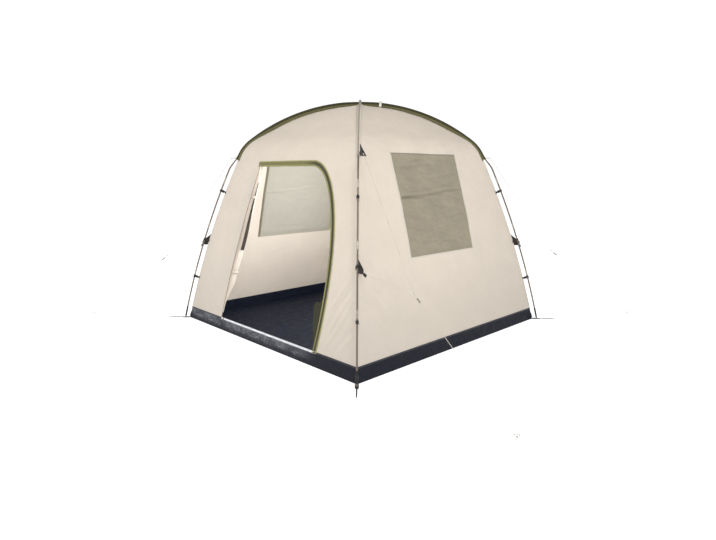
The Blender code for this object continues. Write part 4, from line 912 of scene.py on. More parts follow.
def roofs():
    """Four gores, each one sheet from the eave to the crown."""
    line = ROOF_PROFILE.copy()
    line[-1] = (CROWN_TIP, roof_height(ROOT2 * CROWN_TIP))
    normals = line_normals(line)
    line[0] += unit(line[1] - line[0]) * CLEAR
    columns = blocks([-mitre(line[:, 0]), mitre(line[:, 0])], [110])
    run, half, height, level, lean = (row[:, None] for row in (ROOF_RUN, *line.T, *normals.T))
    made = {}
    for side in SIDES:
        rise = cloth_rise(side, columns, run, half) - roof_hang(half * ROOT2)
        outer, normal = cloth_at(side, columns, half, height, level, lean, rise)
        inner = outer - normal * SKIN_CLOTH
        made[side] = shell("roof_%s_cloth" % side, outer, inner, pair(columns, run), cream)
    return made


def curtain_dent(side, y, z):
    """Creases of a window curtain, inwards."""
    seed = 71 if side == "right" else 83
    bottom, top = WINDOW_Z
    off = z - (top - 0.322 + 0.009 * np.sin(y * 6.0) + 0.050 * y)
    crease = 0.0135 * ridge(off, 0.010) - 0.0060 * ridge(off - 0.026, 0.015)
    crease = crease * (0.45 + 0.55 * smooth_step(0.12 - y, -0.30, 0.20))
    for at, slant, depth, width in CREASES:
        line = bottom + at * (top - bottom) + slant * y + 0.008 * np.sin(y * 9.0 + at * 30.0)
        crease = crease + depth * ridge(z - line, width) * (0.6 + 0.4 * np.sin(y * 6.0 + at * 17.0))
    ripple = 0.0020 * waves(y * 0.35, z, 0.085, seed) + 0.0011 * waves(y * 0.5, z, 0.035, seed + 1)
    low, high = WINDOW_Y[side]
    hold = smooth_step(np.minimum(y - low, high - y), -0.002, 0.05)
    hold = hold * smooth_step(np.minimum(z - bottom, top - z), -0.002, 0.04)
    calm = 1.0 if side == "right" else 0.35
    return np.maximum(0.0, 0.0060 + (crease + ripple) * calm) * hold


def curtains():
    """Window curtains, sewn on behind the walls' cut-outs."""
    made = {}
    for side, (low, high) in WINDOW_Y.items():
        y, z = np.meshgrid(np.linspace(low - WINDOW_LAP, high + WINDOW_LAP, 90),
                           np.linspace(WINDOW_Z[0] - WINDOW_LAP, WALL_TOP, 120))
        point, normal = wall_place(side, y, z)
        outer = point - normal * (SKIN_CLOTH + CLEAR + curtain_dent(side, y, z))[..., None]
        inner = outer - grid_normals(outer, normal) * THIN_CLOTH
        made[side] = shell("window_%s_curtain" % side, outer, inner, pair(y, wall_run(z)), taupe,
                           inner_finish=curtain_inside_lit)
    return made


def groundsheet():
    """Tray of floor cloth: slightly uneven floor, a band up to the walls, its corners joined."""
    levels = np.linspace(0.0, 1.0, 9)[1:]
    reach = np.concatenate([-1.0 - levels[::-1], np.linspace(-1.0, 1.0, 97), 1.0 + levels])
    a, b = np.meshgrid(reach, reach)
    climb = np.clip(np.maximum(np.abs(a), np.abs(b)) - 1.0, 0.0, 1.0)
    z_out = climb * BAND_HEIGHT
    z_in = FLOOR_THICKNESS + climb * (BAND_HEIGHT - FLOOR_THICKNESS)
    wide_out = half_width(z_out)
    wide_in = half_width(z_in) - BAND_THICKNESS
    x, y = np.clip(a, -1.0, 1.0), np.clip(b, -1.0, 1.0)
    wide_x, wide_y = x * SIDE / 2.0, y * SIDE / 2.0
    flat = (1.0 - np.abs(x) ** 12) * (1.0 - np.abs(y) ** 12) * (climb == 0.0)
    uneven = 0.0011 * waves(wide_x, wide_y, 0.22, 31) + 0.0006 * waves(wide_x, wide_y, 0.07, 32)
    for at, heading, width, height in FLOOR_CREASES:
        off = (wide_x, wide_y)[heading] - at - 0.01 * np.sin((y, x)[heading] * 4.0)
        uneven = uneven + height * ridge(off, width)
    z_in = z_in + np.maximum(0.0, uneven) * flat
    bow = 0.0012 * np.sin(math.pi * climb) * waves(wide_x, wide_y, 0.16, 33)
    bowed = (wide_out + bow * (np.abs(row) > 1.0) for row in (a, b))
    outer = np.stack([x * next(bowed), y * next(bowed), z_out], axis=-1)
    inner = np.stack([x * wide_in, y * wide_in, z_in], axis=-1)
    corner = (np.abs(a) >= 1.0) & (np.abs(b) >= 1.0)
    outer[corner] = np.stack([np.sign(a) * wide_out, np.sign(b) * wide_out, z_out], axis=-1)[corner]
    beyond = np.abs((reach[:-1] + reach[1:]) / 2.0) > 1.0
    keep = ~(beyond[None, :] & beyond[:, None])
    uv = pair(wide_x + np.sign(a) * (np.abs(a) - 1.0).clip(0.0) * BAND_HEIGHT,
              wide_y + np.sign(b) * (np.abs(b) - 1.0).clip(0.0) * BAND_HEIGHT)
    piece = shell("groundsheet_cloth", outer, inner, uv, navy, keep, navy_inside_shaded)
    join_mitres(piece, 0.0002)
    return piece


# Lines in the upright plane through a corner

def corner_axes(corner):
    outward = unit((*CORNERS[corner], 0.0))
    return outward, np.cross(UP, outward)


def lift(corner, points, sideways=0.0):
    """World places or directions of (radius, height) rows in a corner's plane."""
    outward, side = corner_axes(corner)
    points = np.asarray(points, float)
    return points[..., :1] * outward + points[..., 1:2] * UP + side * sideways


SLEEVE_CORE = SEAM_SEAT + SLEEVE_CLOTH + SLEEVE_FIT + POLE_RADIUS
SLEEVE_HALF = POLE_RADIUS + SLEEVE_FIT + SLEEVE_CLOTH


def stand_off(z):
    """Distance of a leg's axis from the cloth, less and less towards the sleeve's mouth."""
    closing = smooth_step(-np.asarray(z, float), -(SLEEVE_MOUTH + 0.060), -(SLEEVE_MOUTH - 0.120))
    return SLEEVE_CORE + (POLE_STAND_OFF - SLEEVE_CORE) * closing


def wall_normal(z):
    return unit(pair(1.0, ROOT2 * wall_slope(np.asarray(z, float))))


def leg_axis(z):
    """Axis of a leg beside a height of the cloth, as (radius, height)."""
    return seam_line(z) + wall_normal(z) * stand_off(z)[..., None]


def crossing_rise(radius):
    near = np.clip(np.abs(radius) / CROSSING_REACH, 0.0, 1.0)
    return (SLEEVE_HALF + CLEAR + POLE_RADIUS) * (1.0 + np.cos(math.pi * near)) / 2.0


def roof_axis(over):
    """Cloth points, normals and distances of a pole's axis from the mouth to the crown."""
    z = np.linspace(SLEEVE_MOUTH, WALL_TOP, 7)[:-1]
    line = roof_corner_line(10, 56)
    normals = line_normals(line)
    normals[-1] = (0.0, 1.0)
    return (np.concatenate([seam_line(z), line]), np.concatenate([wall_normal(z), normals]),
            np.concatenate([stand_off(z), SLEEVE_CORE + crossing_rise(line[:, 0]) * over]))


def foot_axis():
    """Lower end of a leg's axis, on its foot."""
    z = FOOT_HEIGHT
    for _ in range(4):
        z += FOOT_HEIGHT - float(leg_axis(z)[1])
    return leg_axis(z)


# Poles

def poles():
    for corner in CORNERS:
        z = np.concatenate([np.linspace(0.06, SLEEVE_MOUTH - 0.14, 40),
                            np.linspace(SLEEVE_MOUTH - 0.12, WALL_TOP, 24)])
        line = np.concatenate([[foot_axis()], leg_axis(z)])
        line[-1] -= unit(line[-1] - line[-2]) * CLEAR
        thinner = smooth_step(line[:, 1], SLEEVE_MOUTH - 0.05, SLEEVE_MOUTH - 0.01)
        radii = LEG_RADIUS + (POLE_RADIUS - LEG_RADIUS) * thinner
        leg = tube("leg_tube_" + corner, lift(corner, line), radii, bronze, 18)
        dress(leg, "bronze_pole", "pole_leg_" + corner)
        for level, z in zip(CLIP_HEIGHTS, FERRULE_HEIGHTS):
            rows = np.array([-1.0, -0.97, -0.93, -0.6, 0.0, 0.6, 0.93, 0.97, 1.0]) * FERRULE_LENGTH / 2.0
            rim = np.array([-0.0003, 0.0005, 0.0008, 0.0009, 0.0009, 0.0009, 0.0008, 0.0005, -0.0003])
            line = lift(corner, leg_axis(z + rows))
            joint = tube("ferrule_%s_%s" % (corner, level), line, rim + LEG_RADIUS, ferrule_metal, 20)
            dress(joint, "bronze_pole")
    for name, near, far in (("under", "front_left", "rear_right"), ("over", "front_right", "rear_left")):
        cloth, normals, off = roof_axis(name == "over")
        half = (cloth + normals * off[:, None])[cloth[:, 1] >= WALL_TOP - 1e-6]
        points = np.concatenate([lift(near, half), lift(far, half)[-2::-1]])
        dress(tube("arc_tube_" + name, points, POLE_RADIUS, bronze, 18), "bronze_pole", "pole_arc_" + name)


# Sleeves

def sleeve_rows(corner, over, crown_gap):
    """Cross lines of a sleeve's cloth from its mouth towards the crown, with their outward vectors."""
    rows = roof_axis(over)
    wanted = (rows[0][:, 0] > crown_gap) | (crown_gap == 0.0)
    cloth, normals, off = (row[wanted] for row in rows)
    axis = cloth + normals * off[:, None]
    side = corner_axes(corner)[1]
    sx, sy = CORNERS[corner]
    along = lift(corner, headings(axis))
    towards = lift(corner, normals)
    base = lift(corner, cloth) + towards * (SEAM_SEAT - roof_hang(cloth[:, :1]))
    core = lift(corner, axis)
    half = SLEEVE_HALF - 0.0004
    slack = 0.003 if over else 0.002
    slack = slack * smooth_step(cloth[:, 0], 0.07, 0.16) * smooth_step(cloth[:, 1], 1.61, WALL_TOP)
    stretch = lengths(core)[:, None]
    ripple = 0.0006 * np.sin(stretch * math.tau / 0.046) + 0.0004 * np.sin(stretch * math.tau / 0.019)
    near_crown = 0.0 if over else 0.016
    flange = SLEEVE_FLANGE + near_crown * (1.0 - smooth_step(cloth[:, :1], 0.40, 0.62))
    ways = [(0.0, sy, 0.0), (sx, 0.0, 0.0)]
    flanks = []
    for way, turn in zip(ways if sx == sy else ways[::-1], (1.0, -1.0)):
        panel = unit(normals[:, :1] * ROOT2 * np.array(way) + normals[:, 1:] * UP)
        run = unit(np.cross(panel, along))
        run = run * np.sign(run @ side * turn)[:, None]
        reach = half / (run @ side * turn)[:, None] + 0.001
        flanks.append([base + run * (reach + (flange - reach) * share)
                       + panel * (0.0016 + turn * ripple * (share - 0.4)) for share in (1.0, 0.6, 0.2)])
    hump = [core + side * half * math.cos(angle) + towards * ((half + slack)[:, None] * math.sin(angle))
            for angle in np.radians(np.linspace(0.0, 180.0, 13))]
    return np.stack(flanks[0] + hump + flanks[1][::-1], axis=1), towards


def sleeve(name, corners, over, crown_gap, material, slot, node):
    near, towards = sleeve_rows(corners[0], over, crown_gap)
    if len(corners) == 2:
        far, far_towards = sleeve_rows(corners[1], over, crown_gap)
        near = np.concatenate([near, far[-2::-1, ::-1]])
        towards = np.concatenate([towards, far_towards[-2::-1]])
    normal = grid_normals(near, near - near.mean(axis=1, keepdims=True) + towards[:, None] * 0.01)
    run = lengths(near[:, near.shape[1] // 2])
    steps = np.linalg.norm(np.diff(near, axis=1), axis=2).mean(axis=0)
    across = np.concatenate([[0.0], np.cumsum(steps)])
    across -= across[-1] / 2.0
    uv = pair(run[:, None], across[None])
    piece = shell(name, near + normal * 0.0006, near - normal * 0.0006, uv, material)
    if over:
        end = even(near[-2] + normal[-2] * 0.0008, 0.002)
        across, up = along_frames(end, unit(end - near[-2].mean(axis=0) + towards[-2] * 0.012))
        dress(ribbon(name + "_end_binding", end, across, up, 0.024, 0.0012, olive_binding), "olive_tape")
    return dress(piece, slot, node)


# Doorway: zip tape, teeth, sill and bindings

def door_line():
    """Doorway's edge from its upper left over the arch to the sill: x, z and the way out of it."""
    angles = np.linspace(math.pi / 2.0, 0.0, 70)
    turned = pair(np.cos(angles), np.sin(angles))
    size = np.array([ARCH_WIDTH, ARCH_HEIGHT])
    arch = np.concatenate([(ARCH_X, ARCH_Z) + turned * size, unit(turned / size)], axis=1)
    top = [(x, DOOR_TOP, 0.0, 1.0) for x in np.linspace(DOOR_LEFT_TOP - TAPE_STUB, ARCH_X, 50)[:-1]]
    jamb = [(door_right(z), z, 1.0, 0.0) for z in np.linspace(ARCH_Z, BAND_HEIGHT - 0.008, 32)[1:]]
    return np.concatenate([top, arch, jamb])


def on_door_wall(x, z, distance):
    point = np.stack([x, -half_width(z), z], axis=-1)
    normal = unit(np.stack([np.zeros_like(z), -np.ones_like(z), wall_slope(z)], axis=-1))
    return point + normal * distance, normal


def beside_door(rows, at, lift_off):
    """Places at a distance out of the opening, with their outward and across vectors."""
    centre, normal = on_door_wall(*(rows[:, :2] + rows[:, 2:] * at).T, lift_off)
    other, _ = on_door_wall(*(rows[:, :2] + rows[:, 2:] * (at + 0.001)).T, lift_off)
    return centre, normal, unit(other - centre)


def tape_along(name, rows, low, high, lift_off, thickness, material):
    """Tape beside the doorway's edge from low to high, out of the opening."""
    centre, normal, across = beside_door(rows, (low + high) / 2.0, lift_off)
    return ribbon(name, centre, across, normal, high - low, thickness, material)


def teeth(name, rows, at, size, material):
    """Row of moulded zip teeth, each a small tapered block with its nose over the edge."""
    data = even(np.concatenate(beside_door(rows, at, TAPE_SEAT), axis=1), TOOTH_PITCH)
    places, normal, across = data[:, :3], unit(data[:, 3:6]), unit(data[:, 6:])
    shape = np.array([(x * (0.7 if y < 0 else 1.0) / 2.0, y / 2.0, h)
                      for h in (0, 1) for x, y in ((-1, -1), (1, -1), (1, 1), (-1, 1))]) * size
    shape[4:, :2] *= 0.72
    points = (places[:, None] + headings(places)[:, None] * shape[:, :1] + across[:, None] * shape[:, 1:2]
              + normal[:, None] * shape[:, 2:])
    block = [(0, 1, 2, 3), (4, 5, 6, 7), (0, 1, 5, 4), (1, 2, 6, 5), (2, 3, 7, 6), (3, 0, 4, 7)]
    faces = [tuple(8 * i + k for k in face) for i in range(len(places)) for face in block]
    uvs = np.array([(0, 0), (1, 0), (1, 1), (0, 1)] * (6 * len(places))) * 0.003
    return add_mesh(name, points.reshape(-1, 3), faces, uvs, material, 20.0)


def doorway():
    rows = door_line()
    edge = -TAPE_OVERHANG + 0.002
    dress(tape_along("door_zip_tape", rows, edge, TAPE_WIDTH + 0.003, TAPE_SEAT, 0.0013, door_tape),
          "olive_tape", "door_zip")
    dress(teeth("door_zip_teeth", rows, edge + 0.0002, (0.0030, 0.0046, 0.0030), olive_coil), "olive_tape")
    dress(tape_along("door_zip_piping", rows, TAPE_WIDTH - 0.0040, TAPE_WIDTH + 0.004, TAPE_SEAT + 0.0008,
                     0.0018, olive_piping), "olive_tape")
    sill = [(x, BAND_HEIGHT, 0.0, -1.0) for x in np.linspace(DOOR_RIGHT_SILL + 0.02, DOOR_LEFT_SILL, 60)]
    sill = even(sill, 0.008)
    dress(tape_along("sill_zip_tape", sill, edge, 0.010, TAPE_SEAT, 0.0012, pale_tape), "olive_tape")
    dress(teeth("sill_zip_teeth", sill, edge + 0.0004, (0.0030, 0.0050, 0.0030), pale_coil), "olive_tape")
    z = np.linspace(BAND_HEIGHT, DOOR_TOP - 0.004, 60)
    left = np.stack([door_left(z), z, -np.ones_like(z), np.full_like(z, 0.14)], axis=1)
    # A brown binding up the left jamb: partly binding, partly painted shade for the gap beside the rolled
    # door.
    dress(tape_along("left_jamb_binding", left, -0.001, 0.007, -0.0002, 0.0014, jamb_shade_binding), "olive_tape")
    z, share = np.meshgrid(np.linspace(0.138, 0.500, 40), np.linspace(0.0, 1.0, 16), indexing="ij")
    free = np.interp(z, [0.138, 0.271, 0.383, 0.455, 0.485, 0.500],
                     [0.725, 0.697, 0.672, 0.663, 0.670, 0.690])
    x = door_right(z) + 0.012 + (free - door_right(z) - 0.012) * share
    behind = -0.0042 - 0.0050 * share + 0.0022 * np.sin(z * 21.0 + 3.0 * share) * share
    place, normal = on_door_wall(x, z - 0.012 * share, behind[..., None])
    flap = shell("door_zip_flap", place, place - normal * THIN_CLOTH, pair(x, z), flap_cloth_shaded)
    dress(flap, "olive_tape")


# Rolled door

def roll_radius(z):
    end = np.where(z > ROLL_MIDDLE, ROLL_Z[1], ROLL_Z[0])
    share = np.clip((z - ROLL_MIDDLE) / (end - ROLL_MIDDLE), -1.0, 1.0)
    radius = ROLL_END_RADIUS + (ROLL_RADIUS - ROLL_END_RADIUS) * np.cos(share * math.pi / 2.0)
    return radius * (0.30 + 0.70 * smooth_step(z, ROLL_Z[0] + 0.05, ROLL_Z[0] + 0.30))


def roll_frames(z):
    """Axis of the roll behind the left jamb, with its side (away from the doorway) and outward vectors."""
    def axis(height):
        depth = ROLL_DEPTH + roll_radius(height)
        return on_door_wall(door_left(height) - ROLL_BEHIND_JAMB, height, -depth[:, None])[0]
    along = unit(axis(z + 0.01) - axis(z - 0.01))
    side = unit(np.cross(along, (0.0, 1.0, 0.0)))
    return axis(z), side, np.cross(along, side)


def roll_shape(z, angle):
    """Share of the roll's radius at a height and angle: lengthwise folds, drawn in at the ties."""
    share = 0.035 * np.sin(3.0 * angle + 4.0 * z) + 0.028 * np.sin(5.0 * angle - 7.0 * z + 1.0)
    share = share + 0.02 * np.sin(9.0 * angle + 15.0 * z)
    for tie in TIE_HEIGHTS.values():
        near = ridge(z - tie, 0.045)
        share = share * (1.0 - near) - 0.10 * near
        share = share + 0.030 * ridge(np.abs(z - tie) - 0.06, 0.03) * np.sin(11.0 * angle)
    return 0.95 + share


def door_roll():
    """The door's cloth wound into a loose roll, its last turn running out to the jamb."""
    z = np.linspace(ROLL_Z[0], ROLL_Z[1], 90)
    centre, side, outward = (row[:, None] for row in roll_frames(z))
    t = np.linspace(0.0, 1.0, int(ROLL_TURNS * 22))
    full = roll_radius(z)[:, None]
    start = 0.004
    radius = np.sqrt(start ** 2 + t * (full ** 2 - start ** 2))
    angle = math.pi / 2.0 - math.tau * ROLL_TURNS * (1.0 - (radius - start) / (full - start))
    wobble = roll_shape(z[:, None], angle) * (0.35 + 0.65 * t) + 0.65 * (1.0 - t)
    points = around(centre, side, outward, angle, radius * np.minimum(wobble, 1.0))
    ends = 0.012 * np.sin(t * ROLL_TURNS * 1.3) - 0.006 * np.sin(t * 40.0)
    slide = np.interp(z, [ROLL_Z[0], ROLL_Z[0] + 0.25, ROLL_Z[1] - 0.25, ROLL_Z[1]], [1.0, 0.0, 0.0, 1.0])
    points[..., 2] += slide[:, None] * ends
    edge, normal = on_door_wall(door_left(z) - 0.003, z, -(SKIN_CLOTH + 0.0006))
    edge, normal = edge[:, None], normal[:, None]
    flap = np.linspace(0.0, 1.0, 8)[1:, None]
    run_out = points[:, -1:] + (edge - points[:, -1:]) * flap - normal * 0.0016 * np.sin(flap * math.pi)
    inwards = np.concatenate([centre - points, np.broadcast_to(-normal, run_out.shape)], axis=1)
    points = np.concatenate([points, run_out], axis=1)
    normals = grid_normals(points, inwards)
    uv = pair(z[:, None], lengths(points[len(z) // 2])[None])
    roll = shell("door_roll_cloth", points, points + normals * 0.0007, uv, roll_cream_lit)
    dress(roll, "cream_cloth", "door_roll")
    # A dark tape down the roll's side, widest from its middle down: partly the door's zip tape, partly
    # painted shadow in the gap between the roll and the jamb.
    z = np.linspace(0.775, 1.40, 60)
    centre, side, outward = roll_frames(z)
    angle = math.radians(174.0) + 0.10 * np.sin(z * 9.0)
    place = around(centre, side, outward, angle, roll_radius(z) * 0.985 + 0.0012)
    across, up = along_frames(place, around(0.0, side, outward, angle, 1.0))
    width = 0.007 + 0.029 * smooth_step(-z, -1.40, -0.86)
    dress(ribbon("roll_zip_tape_and_shadow", place, across, up, width, 0.0014, roll_shadow_tape), "olive_tape")


def roll_ties():
    for level, height in TIE_HEIGHTS.items():
        centre, side, outward = (row[0] for row in roll_frames(np.array([height])))
        radius = float(roll_radius(height)) + 0.0016
        angles = full_turn(48)
        ring = around(centre, side, outward, angles, radius * (1.0 - 0.05 * np.cos(3.0 * angles)))
        facing = unit(ring - centre)
        along = unit(np.roll(ring, -1, axis=0) - np.roll(ring, 1, axis=0))
        tie = ribbon("roll_tie_web_" + level, ring, np.cross(along, facing), facing, 0.020, 0.0016,
                     cream_web, True)
        dress(tie, "olive_tape", "roll_tie_" + level)
        out = around(0.0, side, outward, np.radians(60.0), 1.0)
        seat = centre + out * radius
        span = np.linspace(-1.0, 1.0, 15)
        toggle_line = seat + out * 0.0065 + np.cross(side, outward) * (span * 0.019)[:, None]
        radii = 0.0042 + 0.0014 * span ** 2 - 0.0028 * (np.abs(span) > 0.97)
        dress(tube("roll_toggle_" + level, toggle_line, radii, pale_plastic, 14), "dark_webbing")
        loop = around(seat, out, np.cross(out, UP), np.linspace(-0.9, 0.9, 15), 0.0115)
        dress(tube("roll_loop_" + level, loop, 0.0014, bridle_white, 8), "olive_tape")


# Seams, bindings and small tapes

# Rings of (across, outward) for the bound seam up a corner and for a clip's tack
SEAM_RING = np.array([(-0.0060, -0.0052), (-0.0022, -0.0006), (-0.0012, 0.0030), (0.0, 0.0036),
                      (0.0012, 0.0030), (0.0022, -0.0006), (0.0060, -0.0052), (0.0, -0.0012)])
TACK_RING = np.array([(-0.0165, -0.0146), (-0.0034, -0.0005), (0.0, 0.0048), (0.0034, -0.0005),
                      (0.0165, -0.0146), (0.0, 0.0012)])


def corner_bindings():
    """Bound seam up each corner, from the band to the sleeve."""
    z = np.linspace(BAND_HEIGHT + 0.001, SLEEVE_MOUTH - 0.002, 90)
    normal = wall_normal(z)
    profile = SEAM_RING * pair(1.0, 1.0 + 0.06 * np.sin(z * 160.0))[:, None]
    for corner in CORNERS:
        centres = lift(corner, seam_line(z) - normal * 0.0012)
        seam = sweep("corner_seam_" + corner, centres, corner_axes(corner)[1], lift(corner, normal), profile,
                     cream_seam, tape=True)
        dress(seam, "cream_cloth")


def band_binding():
    """Seam tape over the join of walls and groundsheet, open at the doorway."""
    half = half_width(BAND_HEIGHT)
    spans = [("right", -1.0, 1.0), ("rear", -1.0, 1.0), ("left", -1.0, 1.0),
             ("front", -1.0, (DOOR_LEFT_SILL - 0.004) / half),
             ("front", (DOOR_RIGHT_SILL + TAPE_WIDTH + 0.001) / half, 1.0)]
    made = []
    for i, (side, low, high) in enumerate(spans):
        across, outward = SIDES[side]
        s = np.linspace(low * half + 0.0012, high * half - 0.0012, int((high - low) * 90) + 4)[:, None]
        normal = unit(outward + UP * wall_slope(BAND_HEIGHT))
        centres = across * s + outward * half + UP * (BAND_HEIGHT + 0.001)
        centres = centres + normal * (0.0002 + 0.00025 * np.sin(s * 95.0))
        upward = unit(np.cross(normal, across))
        made.append(ribbon("band_seam_%d" % i, centres, upward, normal, 0.013, 0.0012, navy_web))
    dress(merge_pieces("band_seam_tape", made), "navy_sheet")


def window_hems():
    """Folded hem round each window: an outer facing on the wall, and a tape inside."""
    z0, z1 = WINDOW_Z
    for side, (y0, y1) in WINDOW_Y.items():
        # Start, end, the way out of the window, width of the inner tape and its material
        edges = [((y0, z0), (y1, z0), (0, -1), 0.008, taupe_binding),
                 ((y1, z0), (y1, z1), (1, 0), 0.010, taupe_binding),
                 ((y1, z1), (y0, z1), (0, 1), 0.008, taupe_binding),
                 ((y0, z1), (y0, z0), (-1, 0), 0.022, window_edge_shade)]
        made = {"facing": [], "tape": []}
        for i, (start, end, out, tape_width, tape_look) in enumerate(edges):
            line = even([start, end], 0.012)
            # The top edge's facing in the dark edge look is painted shadow under the window's top; the wide
            # inner tape up the fourth edge is partly tape, partly painted shadow.
            facing = (0.0032, 0.0060, window_edge_shade) if i == 2 else (0.0052, 0.0104, cream_seam)
            for kind, shift, width, lift_off, thickness, material in (
                    ("facing", *facing[:2], 0.0002, 0.0009, facing[2]),
                    ("tape", 0.004, tape_width, -0.0097, 0.0014, tape_look)):
                reach = width / 2.0 if i % 2 else 0.0
                ends = unit(np.array(end) - start) * (width - reach)
                path = line + np.linspace(-1.0, 1.0, len(line))[:, None] * ends * 0.98 + np.array(out) * shift
                path[:, 1] = np.minimum(path[:, 1], WALL_TOP - 0.004)
                point, normal = wall_place(side, *path.T)
                across = unit(np.cross(headings(point), normal))
                made[kind].append(ribbon("hem_%s_%s_%d" % (side, kind, i), point + normal * lift_off, across,
                                         normal, width, thickness, material))
        dress(merge_pieces("window_%s_hem" % side, made["facing"]), "cream_cloth")
        dress(merge_pieces("window_%s_inner_tape" % side, made["tape"]), "olive_tape")


def crown_strap():
    """Pale tie over the olive sleeve beside the crown."""
    side = corner_axes("rear_right")[1]
    radius = 0.192
    normal = unit((radius, math.sqrt(ROOF_BEND ** 2 - radius ** 2)))
    centre = lift("rear_right", (radius, roof_height(radius)) + normal * SLEEVE_CORE)
    towards = lift("rear_right", normal)
    angles = np.radians(np.linspace(-28.0, 208.0, 30))
    ring = around(centre, side, towards, angles, SLEEVE_HALF + 0.0012, SLEEVE_HALF + 0.0145)
    tails = [centre + side * wide - towards * (SLEEVE_CORE + HANG - height) for wide, height in
             ((0.062, -0.0040), (0.024, 0.0036), (-0.024, 0.0036), (-0.062, -0.0040))]
    line = even(np.concatenate([tails[:2], ring[3:-3], tails[2:]]), 0.002)
    across, up = along_frames(line, unit(line - (centre - towards * 0.03)))
    dress(ribbon("crown_strap", line, across, up, 0.024, 0.0013, white_web), "guy_cord")


# Clips, patches, feet

def arc_points(radius, start_deg, end_deg):
    angles = np.radians(np.linspace(start_deg, end_deg, 22))
    return pair(np.cos(angles), np.sin(angles)) * radius


def clip(corner, level, z):
    """Open plastic hook round a leg, on a webbing tab with a tack on the seam."""
    key = (corner, level)
    normal = wall_normal(z)
    towards, side = lift(corner, normal), corner_axes(corner)[1]
    upward = np.cross(towards, side)
    upward = upward * np.sign(upward[2])
    centre = lift(corner, leg_axis(z))
    off = float(stand_off(z))
    inner, outer, half_strap = LEG_RADIUS + 0.0003, LEG_RADIUS + 0.0046, 0.0013
    mouth_deg, shank = -82.0, off - 0.012
    outside = arc_points(outer, 180.0 - math.degrees(math.asin(half_strap / outer)), mouth_deg)
    inside = arc_points(inner, mouth_deg, 180.0 + math.degrees(math.asin(half_strap / inner)))
    heights = np.array([-0.0125, -0.0115, 0.0115, 0.0125])
    inset = np.array([0.93, 1.0, 1.0, 0.93])[:, None, None]
    rings = [np.broadcast_to([(-shank, half_strap)], (4, 1, 2)), outside * inset, inside * (2.0 - inset),
             np.broadcast_to([(-shank, -half_strap)], (4, 1, 2))]
    hook = sweep("clip_hook_%s_%s" % key, centre + upward * heights[:, None], towards, side,
                 np.concatenate(rings, axis=1), black_plastic)
    web_line = even(centre - towards * np.array([off - 0.0004, off * 0.72, off - 0.017])[:, None], 0.003)
    web = ribbon("clip_web_%s_%s" % key, web_line, upward, side, 0.016, 0.0036, brown_web, lift_off=-0.0018)
    dress(merge_pieces("clip_%s_%s_dressed" % key, [hook, web]), "dark_webbing", "clip_%s_%s" % key)
    seam = lift(corner, seam_line(np.linspace(z - 0.013, z + 0.013, 9)))
    tack = sweep("clip_tack_%s_%s" % key, seam - towards * 0.0022, side, towards, TACK_RING, brown_web)
    dress(tack, "dark_webbing")


def gusset_way(corner, swings_deg):
    outward, side = corner_axes(corner)
    swing = math.radians(swings_deg[corner])
    return outward * math.cos(swing) + side * math.sin(swing)


def beside_pole(corner):
    """How far sideways of a corner's plane its upper guy patch is sewn."""
    return math.copysign(SLEEVE_HALF - SLEEVE_CLOTH / 2.0, UPPER_SWING_DEG[corner])


def patch_edges(corner):
    """Inner edge of each guy patch, low point first, the way it points and its tip's height."""
    sx, sy = CORNERS[corner]
    cloth, normals, off = roof_axis(sx != sy)
    beside = cloth + normals * (off - POLE_RADIUS / 2.0)[:, None]
    places = np.linspace(UPPER_GUSSET_RISE, 0.040, 11)
    line = np.stack([np.interp(places, lengths(beside), column) for column in beside.T], axis=1)
    z = np.linspace(CLIP_HEIGHTS["mid"] - LOWER_GUSSET_DROP, CLIP_HEIGHTS["mid"] + 0.070, 11)
    lower = lift(corner, seam_line(z) + (GUSSET_SEAT, 0.0))
    upper = lift(corner, line, beside_pole(corner))
    return {"upper": (upper, gusset_way(corner, UPPER_SWING_DEG), GUSSET_LIP),
            "lower": (lower, gusset_way(corner, LOWER_SWING_DEG), LOWER_GUSSET_LIP)}


def patches():
    """Triangular guy patches, slightly bulged, each with an eyelet ring at its tip."""
    a, b = (grid[..., None] for grid in np.meshgrid(np.linspace(0.0, 1.0, 15), np.linspace(0.0, 1.0, 11)))
    for corner in CORNERS:
        for level, (edge, heading, lip) in patch_edges(corner).items():
            tip = edge[0] + heading * GUSSET_REACH
            place = edge[:, None] * (1 - a) + (tip * (1 - b) + (tip + UP * lip) * b) * a
            normal = unit(np.cross(heading, edge[-1] - edge[0]))
            bulge = 0.0012 * np.sin(math.pi * a) * np.sin(math.pi * b) + 0.0005 * np.sin(9.0 * a + 5.0 * b)
            place = place + normal * bulge
            uv = np.concatenate([a * GUSSET_REACH, b * 0.08], axis=-1)
            look = white_web if level == "upper" and corner != "front_right" else brown_web
            above, below = place + normal * 0.0008, place - normal * 0.0008
            patch = shell("guy_patch_%s_%s" % (corner, level), above, below, uv, look)
            dress(patch, "dark_webbing")
            ring = around(tip + UP * 0.005 - heading * 0.0025, heading, UP, full_turn(24), 0.0052)
            dress(tube("guy_ring_%s_%s" % (corner, level), ring, 0.0011, steel, 8, True), "steel")


